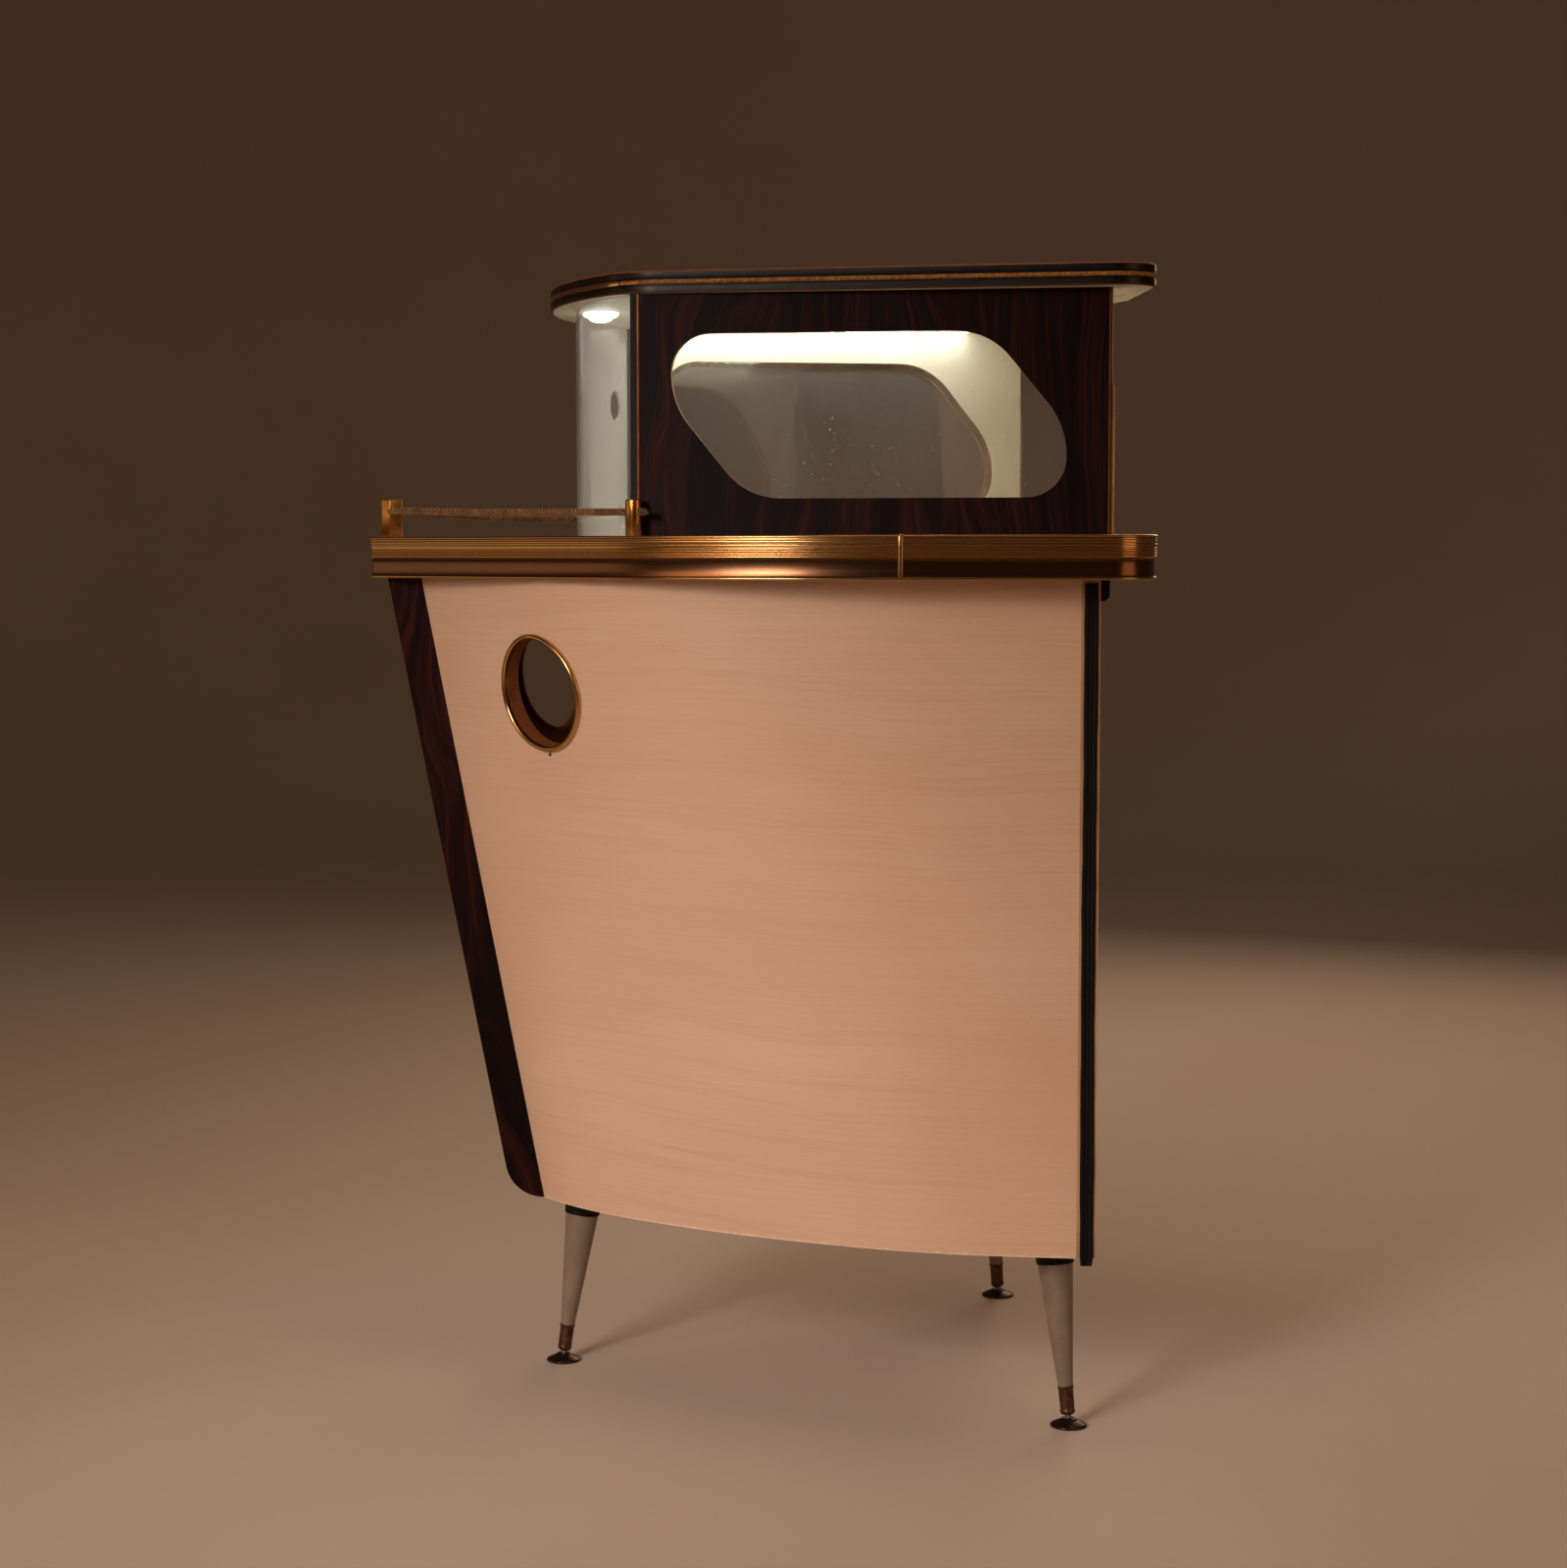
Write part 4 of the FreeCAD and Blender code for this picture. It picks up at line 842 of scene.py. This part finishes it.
# walk the line in even steps, with the outward normal carried along
acc = [0.0]
for a, b in zip(centre, centre[1:]):
    acc.append(acc[-1] + (b - a).length)
total = acc[-1]
steps = int(total / 0.0009)
strand_lines = [[], []]
j = 0
PITCH_B = 5.6 * MM
samples = []
for s_i in range(steps + 1):
    s = total * s_i / steps
    while j < len(acc) - 2 and acc[j + 1] < s:
        j += 1
    t = (s - acc[j]) / max(acc[j + 1] - acc[j], 1e-12)
    samples.append((centre[j].lerp(centre[j + 1], t), (nrm[j].lerp(nrm[j + 1], t)).normalized(), s))
for k in range(2):
    rings = []
    for (c, nn, s) in samples:
        a = 2 * math.pi * (k / 2.0 + s / PITCH_B)
        travel = V(0, 0, 1).cross(nn)
        ctr = c + nn * (math.cos(a) * 0.60 * MM) - V(0, 0, math.sin(a) * 1.62 * MM)
        # the strand's own direction, for a round section square to it
        d = (travel * (PITCH_B / (2 * math.pi)) - nn * (math.sin(a) * 0.60 * MM) - V(0, 0, math.cos(a) * 1.62 * MM)).normalized()
        e1 = nn - d * nn.dot(d)
        e1.normalize()
        e2 = d.cross(e1)
        rings.append([ctr + e1 * (math.cos(b) * 0.98 * MM) + e2 * (math.sin(b) * 1.22 * MM) for b in [2 * math.pi * q / 8 for q in range(8)]])
    braid.add(*rings_to_mesh(rings, False))
braid.make("roof_line_twist", M_BRAID, slot="brass", angle=80.0)

# seams of the roof edging where the two kinds of line meet
seam = Build()
for side in (-1, 1):
    x, y, nx, ny = outline_point(ROOF, -135.8, side)
    tx, ty = -ny, nx
    prof = [(1.0, 1290.2), (0.3, 1290.1), (-0.05, 1289.7), (-0.2, 1288.8), (-0.22, 1282.6), (-0.3, 1281.9), (-0.78, 1281.2), (-0.8, 1275.3), (-0.3, 1274.6), (-0.22, 1273.8), (-0.2, 1267.6), (-0.05, 1266.7), (0.3, 1266.25), (1.0, 1266.2)]
    rings = []
    for i, (d, z) in enumerate(prof):
        ring = []
        for wd, hh in ((-0.8, -1.2), (-0.8, -0.1), (-0.45, 0.0), (0.0, 0.03), (0.45, 0.0), (0.8, -0.1), (0.8, -1.2)):
            out = -d + hh
            ring.append(V(x + nx * out * MM + tx * wd * MM, y + ny * out * MM + ty * wd * MM, z * MM))
        rings.append(ring)
    seam.add(*rings_to_mesh(rings, False))
seam.make("roof_edging_seams", M_EDGE, slot="roof_edge", angle=50.0)

# ============================================================================ portholes
pc = V(-226.0, -175.4047, 823.5) * MM
pn = V(-0.777339, -0.602484, -0.180989).normalized()


def hull_tree(node):
    me = NODES[node].data
    return BVHTree.FromPolygons([(v.co.x - OX, v.co.y, v.co.z) for v in me.vertices], [tuple(p.vertices) for p in me.polygons])


RING = [(63.0, -16.0), (66.0, -16.0), (66.0, -0.4), (67.4, -0.4), (68.4, 0.2), (68.95, 1.3), (69.0, 2.6), (68.7, 3.9), (68.05, 4.95), (67.15, 5.7), (66.1, 6.05), (65.0, 5.95), (64.05, 5.45), (63.35, 4.6),
        (62.95, 3.5), (62.85, 2.2), (63.0, 0.8)]
for side, label in ((-1, "port"), (1, "starboard")):
    c = V(pc.x, pc.y * -side, pc.z)
    n = V(pn.x, pn.y * -side, pn.z)
    u = V(0, 0, 1).cross(n).normalized()
    w = n.cross(u)
    tree = hull_tree("hull_panel_" + label)
    seg = 128
    base = []
    for k in range(seg):
        a = 2 * math.pi * k / seg
        d = u * math.cos(a) + w * math.sin(a)
        hit = tree.ray_cast(c + d * (69.0 * MM) + n * 0.05, -n, 0.1)
        base.append((hit[0] - c).dot(n) if hit[0] is not None else None)
    known = [b for b in base if b is not None]
    base = [b if b is not None else sum(known) / len(known) for b in base]
    # smooth the offsets of the veneer round the ring
    base = [sum(base[(k + j) % seg] for j in (-2, -1, 0, 1, 2)) / 5 for k in range(seg)]
    rings = []
    for k in range(seg):
        a = 2 * math.pi * k / seg
        d = u * math.cos(a) + w * math.sin(a)
        rings.append([c + d * (r * MM) + n * (h * MM + base[k] * (1.0 if h > -1 else 0.4)) for r, h in RING])
    v, f = rings_to_mesh(rings, True)
    m = len(RING)
    # the last facet of every section is the sleeve inside the hole
    bez = Build()
    bez.add(v, f)
    bez.k = [1 if (i % m) in (0, 1, m - 1) else 0 for i in range(len(f))]
    bez.make("porthole_bezel_" + label, [M_BRASS_P, M_SLEEVE], slot="brass", replaces=("porthole_ring_" + label,), angle=60.0)
    # brad that holds the bezel at its foot
    th = math.radians(-90.0)
    foot = c + (V(0, 0, -1) - n * V(0, 0, -1).dot(n)).normalized() * (72.6 * MM)
    hit = tree.ray_cast(foot + n * 0.05, -n, 0.1)
    foot = hit[0] if hit[0] is not None else foot
    v, f = lathe([(0, -0.0002), (0.0019, -0.0002), (0.0021, 0.0004), (0.0017, 0.0011), (0.0009, 0.0015), (0, 0.0016)], foot, n, 20)
    piece("bezel_brad_" + label, v, f, M_DARK, "dark_metal", angle=50.0)

# ============================================================================ legs
FEET = {"prow": ((-206.0, 0.0), (-182.0, 0.0)), "port": ((365.5, -300.0), (352.0, -280.0)), "starboard": ((365.5, 300.0), (352.0, 280.0))}
BALL_Z, LEG_Z = 6.2, 186.0
for label, ((fx, fy), (tx, ty)) in FEET.items():
    ball = V(fx, fy, BALL_Z) * MM
    top = V(tx, ty, LEG_Z) * MM
    ax = (ball - top).normalized()
    mm = lambda pts: [(r * MM, h * MM) for r, h in pts]
    # mounting collar: two black washers with a steel ring between them
    col = Build()
    col.add(*lathe(mm([(0, -17.5), (27.0, -17.5), (28.0, -16.9), (28.0, -15.6), (27.0, -15.0), (22.5, -14.6), (21.8, -12.0), (21.6, -2.0), (21.2, -1.0), (0, -1.0)]), top, ax, 64), 0)
    col.add(*lathe(mm([(0, -1.0), (20.9, -1.0), (21.6, -0.75), (21.8, -0.2), (21.6, 0.4), (20.8, 0.65), (0, 0.65)]), top, ax, 64), 0)
    col.add(*lathe(mm([(0, 0.65), (20.6, 0.65), (21.0, 0.9), (21.05, 1.6), (21.0, 2.3), (20.6, 2.5), (0, 2.5)]), top, ax, 64), 1)
    col.add(*lathe(mm([(0, 2.5), (20.6, 2.5), (21.35, 2.65), (21.45, 3.1), (21.2, 3.6), (20.2, 3.8), (0, 3.8)]), top, ax, 64), 0)
    col.make("leg_collar_" + label, [M_BLACK, M_RING], slot="black_plastic", replaces=("leg_blocks",), angle=40.0)
    r1 = lambda s: 20.4 + (8.5 - 20.4) * s / 142.0
    v, f = lathe(mm([(0, 3.8), (19.3, 3.8), (19.9, 4.05), (r1(4.8), 4.8)] + [(r1(s), s) for s in (12, 30, 50, 70, 90, 110, 130, 139)] + [(8.95, 140.6), (8.95, 141.2), (8.5, 142.0), (0, 142.0)]), top, ax, 72)
    piece("tapered_leg_" + label, v, f, M_LEG, "leg_paint", replaces=("leg_" + label,), angle=40.0)
    v, f = lathe(mm([(0, 142.0), (8.9, 142.0), (9.25, 142.5), (9.3, 143.6), (9.0, 144.4), (8.45, 144.9), (8.35, 150.0), (8.25, 158.0), (8.1, 166.0), (8.0, 168.6), (8.4, 169.4), (8.5, 170.6), (8.3, 171.8),
                      (7.5, 173.2), (6.4, 174.0), (0, 174.0)]), top, ax, 56)
    piece("leg_ferrule_" + label, v, f, M_DARK, "dark_metal", replaces=("ferrule_" + label,), angle=40.0)
    # levelling stem with its thread, ball end below
    L = (ball - top).length / MM
    prof = [(0, 173.9), (3.4, 173.9)]
    h = 174.0
    while h < L - 4.6:
        prof += [(3.5, h), (3.05, h + 0.35), (3.5, h + 0.7)]
        h += 0.8
    prof += [(2.6, L - 4.0), (2.7, L - 3.2)] + [(4.5 * math.sin(a), L - 4.5 * math.cos(a)) for a in [math.radians(q) for q in range(40, 180, 12)]] + [(0, L + 4.5)]
    v, f = lathe(mm(prof), top, ax, 32)
    piece("levelling_stem_" + label, v, f, M_STEEL, "steel", replaces=("glide_stems",), angle=50.0)
    # swivelling pad: rolled rim, dished shoulder, raised hub round the ball
    prof = [(0, 1.5), (17.6, 1.5), (18.2, 1.2), (18.4, 0.0), (19.3, 0.0), (20.2, 0.35), (20.5, 1.1), (20.45, 2.0), (20.1, 2.7), (19.3, 3.3), (17.8, 4.1), (15.6, 5.2), (13.2, 6.2), (11.4, 6.9), (10.2, 7.3), (9.5, 7.7),
            (9.0, 8.3), (8.6, 8.9), (8.0, 9.3), (6.8, 9.4), (4.4, 9.4), (3.75, 9.2), (4.0, 8.8), (4.78, 6.6), (4.7, 5.2), (4.0, 3.6), (2.6, 2.3), (0, 1.9)]
    v, f = lathe(mm(prof), V(fx, fy, 0) * MM, (0, 0, 1), 72)
    piece("swivel_pad_" + label, v, f, M_PAD, "dark_metal", body="foot_pad_" + label, replaces=("foot_pad_" + label,), angle=40.0)

# ============================================================================ posts and ropes
# prow post: bent from plate, with a rounded V facing forward
post = [(-418.5, 0.0), (-407.6, -8.5), (-392.9, -8.5), (-392.9, 8.5), (-407.6, 8.5)]


def rounded_polygon(pts, r, n=5):
    out = []
    m = len(pts)
    for i in range(m):
        p = Vector(pts[i])
        a, b = (Vector(pts[i - 1]) - p).normalized(), (Vector(pts[(i + 1) % m]) - p).normalized()
        ang = a.angle(b)
        t = r / math.tan(ang / 2)
        h = (a + b).normalized()
        c = p + h * (r / math.sin(ang / 2))
        s, e = p + a * t - c, p + b * t - c
        for k in range(n + 1):
            q = s.slerp(e, k / n) if s.length > 1e-9 else s
            out.append((c.x + q.x, c.y + q.y))
    return out


def prism_piece(name, outline, z_list, mat, **kw):
    """z_list: (z, inward offset) rows; inner rows come after outer ones."""
    ctr = Vector((sum(p[0] for p in outline) / len(outline), sum(p[1] for p in outline) / len(outline)))
    rings = []
    for z, off in z_list:
        ring = []
        for p in outline:
            q = Vector(p) - ctr
            q = q * (1 - off / q.length)
            ring.append(V(ctr.x + q.x, ctr.y + q.y, z) * MM)
        rings.append(ring)
    v, f = rings_to_mesh(rings, False)
    return piece(name, v, f, mat, **kw)


prism_piece("prow_stanchion", rounded_polygon(post, 1.2), [(1000.0, 0.35), (1000.5, 0.0), (1045.2, 0.0), (1045.7, 0.15), (1046.0, 0.5), (1046.0, 1.1), (1045.5, 1.4), (1040.0, 1.5), (1039.6, 4.5)], M_BRASS,
            slot="brass", replaces=("prow_post",), angle=40.0)
for side, label in ((-1, "port"), (1, "starboard")):
    v, f = lathe([(r * MM, h * MM) for r, h in [(0, 0), (9.0, 0), (9.3, 0.4), (9.3, 39.6), (9.15, 40.4), (8.7, 40.9), (8.3, 41.0), (7.8, 40.8), (7.5, 40.2), (7.4, 35.0), (0, 34.6)]],
                 V(-121.0, 291.0 * side, 1000.0) * MM, (0, 0, 1), 56)
    piece("side_stanchion_" + label, v, f, M_BRASS, "brass", replaces=("side_post_" + label,), angle=40.0)

ROUTES = {
    "port": [(-0.4075, -0.006, 1.032), (-0.33357, -0.07985, 1.03015), (-0.25965, -0.1537, 1.0288), (-0.18573, -0.22755, 1.02795), (-0.1118, -0.3014, 1.0276)],
    "starboard": [(-0.4075, 0.006, 1.032), (-0.34836, 0.06508, 1.02792), (-0.28922, 0.12416, 1.02544), (-0.23008, 0.18324, 1.02456), (-0.17094, 0.24232, 1.02528), (-0.1118, 0.3014, 1.0276)],
}


def spline_points(name, pts):
    cu = bpy.data.curves.new(name, "CURVE")
    cu.dimensions = "3D"
    cu.resolution_u = 250 if len(pts) < 6 else 190
    sp = cu.splines.new("NURBS")
    sp.points.add(len(pts) - 1)
    for q, p in zip(sp.points, pts):
        q.co = (*p, 1.0)
    sp.order_u = 3
    sp.use_endpoint_u = True
    ob = bpy.data.objects.new(name, cu)
    SC.collection.objects.link(ob)
    bpy.context.view_layer.update()
    me = bpy.data.meshes.new_from_object(ob)
    line = [v.co.copy() for v in me.vertices]
    bpy.data.objects.remove(ob)
    bpy.data.curves.remove(cu)
    bpy.data.meshes.remove(me)
    return line


def add_strands(b, path, strands, centre_r, strand_r, pitch, seg=10, phase=0.0, taper_end=0, crown=None):
    """crown: faces nearer than this to the rope's middle take the darker material, painted shade in the furrows."""
    for line in twisted(path, strands, centre_r, strand_r, pitch, seg, phase):
        n = len(line)
        rad = [strand_r * (1.0 if not taper_end or i < n - taper_end else 1.0 - 0.6 * (i - (n - taper_end)) / taper_end) for i in range(n)]
        v, f = rings_to_mesh(tube_rings(line, rad, seg), False)
        k = 0
        if crown:
            k = []
            for q in f:
                mid = sum((v[i] for i in q), V(0, 0, 0)) / len(q)
                k.append(0 if (mid - path[min(q[0] // seg, n - 1)]).length > crown and len(q) == 4 else 2)
        b.add(v, f, k)


def knot_at(label, c, d, side):
    """A small overhand knot drawn tight, with a short end."""
    u = V(0, 0, 1).cross(d).normalized()
    w = d.cross(u)
    pts = []
    n = 150
    for i in range(n):
        t = 2 * math.pi * i / n
        x = math.sin(t) + 2 * math.sin(2 * t)
        y = math.cos(t) - 2 * math.cos(2 * t)
        z = -math.sin(3 * t)
        pts.append(c + (u * x + w * y) * (0.98 * MM) + d * (z * 1.5 * MM))
    b = Build()
    fr_n = len(pts)
    # three strands round the knot's closed line
    fr = frames(pts, True)
    for k in range(3):
        line = []
        for i, p in enumerate(pts):
            a = 2 * math.pi * (k / 3.0 + 9.0 * i / fr_n)
            t_, s_, w_ = fr[i]
            line.append(p + (s_ * math.cos(a) + w_ * math.sin(a)) * (1.0 * MM))
        line.append(line[0].copy())
        b.add(*rings_to_mesh(tube_rings(line, 0.92 * MM, 8), False))
    tail = [c + d * (2.6 + 0.3 * i) * MM + V(0, 0, -0.0094 * i * i) * MM for i in range(16)]
    add_strands(b, tail, 3, 1.15 * MM, 0.95 * MM, 8.0 * MM, 8, 0.4, 5)
    # the knot takes the dimmed cord: painted shade
    return b.make("rope_end_knot_" + label, M_KNOT_SHADE, slot="rope", replaces=("rope_knot_" + label,), angle=80.0)


for side, label in ((-1, "port"), (1, "starboard")):
    pts = ROUTES[label]
    line = spline_points("route_" + label, pts)
    b = Build()
    # strand faces near the rope's middle get the painted shade of the furrows
    add_strands(b, line, 3, 2.50 * MM, 1.74 * MM, 13.6 * MM, 16, crown=3.90 * MM)
    # dark core tube inside the strands, painted shade that closes the gaps
    b.add(*rings_to_mesh(tube_rings(line[::12] + [line[-1]], 1.35 * MM, 8), False), 1)
    rope = b.make("deck_rope_" + label, [M_ROPE, M_CORE_SHADE, M_FURROW_SHADE], slot="rope", replaces=("rope_" + label,), angle=80.0)
    end_dir = (line[-1] - line[-6]).normalized()
    knot = knot_at(label, line[-1] + end_dir * 1.8 * MM, end_dir, side)

# ============================================================================ rubber strips
for side, label in ((-1, "port"), (1, "starboard")):
    y0 = 361.0
    rings = []
    nz = 150
    rng = np.random.RandomState(5 + side)
    k1, k2 = rng.rand(6) * 6.28, rng.rand(6) * 6.28
    for i in range(nz + 1):
        z = 198.0 + 751.0 * i / nz
        zz = z / 1000.0
        wob = lambda ph, amp: amp * (0.5 * math.sin(zz * 9.1 + ph[0]) + 0.3 * math.sin(zz * 23.7 + ph[1]) + 0.22 * math.sin(zz * 61.0 + ph[2]) + 0.12 * math.sin(zz * 140.0 + ph[3]))
        xa = 366.3 + wob(k1, 0.75)
        xb = 381.0 + wob(k2, 0.75)
        if i < 3:
            xa += (0.9, 0.3, 0.0)[i]
            xb -= (1.2, 0.4, 0.0)[i]
        th = 2.9 + 0.3 * math.sin(zz * 31.0 + k1[4])
        sec = [(xa, 0.0), (xa - 0.1, 0.9), (xa + 0.3, th * 0.8), (xa + 1.2, th), (xa + 4.2, th), (xa + 4.9, th - 0.7), (xa + 5.7, th - 0.75), (xa + 6.3, th - 0.05), (xb - 6.3, th - 0.05), (xb - 5.7, th - 0.75), (xb - 4.9, th - 0.7), (xb - 4.2, th),
               (xb - 1.2, th), (xb - 0.3, th * 0.8), (xb + 0.1, 0.9), (xb, 0.0)]
        rings.append([V(x, side * (y0 + h), z) * MM for x, h in sec])
    v, f = rings_to_mesh(rings, False)
    piece("door_seal_" + label, v, f, M_RUBBER, "rubber", replaces=("seal_strip_" + label,), angle=50.0)

# ============================================================================ cabin edge strips
CA, SA = math.cos(math.radians(10.33)), math.sin(math.radians(10.33))


def cab(s, w, z, side=-1):
    x = -117.3 + s * CA + w * SA
    y = -277.0 - s * SA + w * CA
    return V(x, y if side < 0 else -y, z) * MM


strips = Build()
for side in (-1, 1):
    for s0, s1 in ((0.0, 4.0), (515.1, 518.6)):
        sec = [(s0, 0.0), (s0, -0.5), (s0 + 0.35, -0.85), (s0 + 0.9, -1.0), (s1 - 0.9, -1.0), (s1 - 0.35, -0.85), (s1, -0.5), (s1, 0.0)]
        rings = [[cab(s, w, z, side) for s, w in sec] for z in (1000.0, 1030.0, 1090.0, 1150.0, 1210.0, 1266.2)]
        strips.add(*rings_to_mesh(rings, False))
strips.make("cabin_corner_strips", M_STRIP, slot="brass", replaces=("cabin_edge_strips",), angle=30.0)

# ============================================================================ lights
strip_b = Build()
for side in (-1, 1):
    s0, s1, w0, w1 = 18.0, 440.0, 24.0, 34.0
    sec = [(w0, 1266.2), (w0, 1265.4), (w0 + 0.3, 1265.1), (w0 + 1.0, 1265.0), (w1 - 1.0, 1265.0), (w1 - 0.3, 1265.1), (w1, 1265.4), (w1, 1266.2)]
    rings = [[cab(s, w, z, side) for w, z in sec] for s in (s0, s0 + 0.4, 120.0, 230.0, 340.0, s1 - 0.4, s1)]
    strip_b.add(*rings_to_mesh(rings, False), 0)
    for i in range(20):
        s = s0 + 10.5 + 21.0 * i
        c = cab(s, 29.0, 1265.05, side)
        strip_b.add(*lathe([(0, -0.0004), (0.0030, -0.0004), (0.0030, 0.0002), (0.0026, 0.00085), (0.0016, 0.00122), (0, 0.0013)], c, (0, 0, -1), 18), 1)
strip_b.make("led_light_strips", [M_LEDS, M_LED], slot="led", replaces=("led_strips",), angle=40.0)

lamp = V(-156.0, 0.0, 0.0) * MM
# white plastic bezel that glows: painted glow round the downlight
v, f = lathe([(r * MM, h * MM) for r, h in [(15.6, 1280.0), (17.8, 1280.0), (17.9, 1266.2), (20.4, 1266.2), (20.9, 1265.8), (21.0, 1264.9), (20.7, 1263.4), (20.0, 1262.2), (19.0, 1261.5), (17.8, 1261.2), (16.8, 1261.4), (16.1, 1262.1), (15.7, 1263.4), (15.6, 1266.0)]],
              lamp, (0, 0, 1), 72, closed_profile=True)
piece("downlight_bezel", v, f, M_BEZEL_GLOW, "white_plastic", replaces=("downlight_rim",), angle=40.0)
v, f = lathe([(r * MM, h * MM) for r, h in [(0, 1269.2), (15.2, 1269.2), (15.3, 1262.5), (15.0, 1261.0), (14.2, 1259.4), (12.6, 1257.7), (10.4, 1256.4), (7.8, 1255.6), (4.2, 1255.25), (0, 1255.2)]], lamp, (0, 0, 1), 64)
piece("downlight_diffuser", v, f, M_LAMP, "led", replaces=("downlight_lens",), angle=40.0)

# ============================================================================ screws
scr = Build()
for label, ((fx, fy), (tx, ty)) in FEET.items():
    for k in range(2):
        # one ahead of the collar and one behind it
        base = V(tx, ty, 0) * MM
        a = math.radians(45.0 + 180.0 * k + (90.0 if ty > 0 else 0.0))
        c = V(base.x + 0.033 * math.cos(a), base.y + 0.033 * math.sin(a), 0.2068)
        scr.add(*lathe([(0, 0), (0.0038, 0), (0.0040, 0.0004), (0.0036, 0.0016), (0.0022, 0.0024), (0.0011, 0.0026), (0.0010, 0.0019), (0, 0.0018)], c, (0, 0, -1), 22))
scr.make("leg_plate_screws", M_STEEL, slot="steel", replaces=("leg_screws",), angle=40.0)

# ============================================================================ floor and light
def floor_mesh():
    prof = [(0.0, 0.0), (1.2, 0.0), (2.4, 0.0), (3.6, 0.0), (5.0, 0.0), (6.0, 0.0)]
    R = 3.2
    for k in range(1, 13):
        a = math.radians(90.0 * k / 12 * 0.92)
        prof.append((6.0 + R * math.sin(a), R * (1 - math.cos(a))))
    x, z = prof[-1]
    prof += [(x + 0.25, z + 1.6), (x + 0.5, z + 3.6)]
    return lathe(prof, (0, 0, 0), (0, 0, 1), 96)


v, f = floor_mesh()
me = bpy.data.meshes.new("floor")
me.from_pydata([tuple(p) for p in v], [], f)
me.polygons.foreach_set("use_smooth", [True] * len(me.polygons))
me.update()
floor = bpy.data.objects.new("floor", me)
SC.collection.objects.link(floor)
F = Mat("pale_floor")
cloud = F.noise(F.coords((0.7, 0.7, 0.7)), 1.0, 4.0, 0.6)
grit = F.noise(F.coords((55.0, 55.0, 55.0)), 1.0, 3.0, 0.6)
F.set("Base Color", F.ramp(cloud, [(0.3, srgb(214, 200, 188)), (0.7, srgb(222, 209, 198))]))
F.set("Roughness", F.mapr(grit, 0.3, 0.7, 0.62, 0.74))
F.bump(grit, 0.08, 0.0008)
me.materials.append(F.m)

world = bpy.data.worlds.new("studio")
SC.world = world
world.use_nodes = True
bg = world.node_tree.nodes.get("Background") or world.node_tree.nodes.new("ShaderNodeBackground")
bg.inputs["Color"].default_value = (1.0, 0.66, 0.44, 1.0)
bg.inputs["Strength"].default_value = 0.06


def area(name, loc, target, size, power, colour, size_y=None, spread=180.0):
    li = bpy.data.lights.new(name, "AREA")
    li.energy = power
    li.color = colour
    li.shape = "RECTANGLE"
    li.size = size
    li.size_y = size_y or size
    li.spread = math.radians(spread)
    ob = bpy.data.objects.new(name, li)
    SC.collection.objects.link(ob)
    ob.location = loc
    ob.rotation_euler = (Vector(target) - Vector(loc)).to_track_quat("-Z", "Y").to_euler()
    ob.visible_camera = False
    ob.visible_transmission = False
    return ob


area("key", (-1.9, -3.0, 1.6), (-0.12, -0.3, 0.34), 1.0, 4.4, (1.0, 0.86, 0.79), 1.0, 42.0)
area("soft", (-2.6, -2.6, 2.3), (0.0, -0.1, 0.6), 1.6, 6.0, (1.0, 0.62, 0.38), 1.4, 100.0)
area("fill", (3.0, -2.9, 1.5), (0.1, 0.0, 0.7), 2.0, 13.0, (1.0, 0.60, 0.36))
area("top", (0.2, 0.2, 3.2), (0.0, 0.0, 0.6), 1.8, 15.0, (1.0, 0.68, 0.46))
area("back", (1.6, 3.0, 2.2), (0.0, 0.0, 0.8), 1.8, 24.0, (1.0, 0.68, 0.47))
area("side", (-3.3, -0.2, 1.15), (0.0, 0.0, 0.95), 2.6, 5.0, (1.0, 0.74, 0.50), 0.9)

SC.view_settings.view_transform = "Standard"
SC.view_settings.exposure = 0.0
if hasattr(SC, "cycles"):
    SC.cycles.use_denoising = True
    SC.cycles.max_bounces = 10
    SC.cycles.transmission_bounces = 10
    SC.cycles.transparent_max_bounces = 12
    SC.cycles.caustics_refractive = True
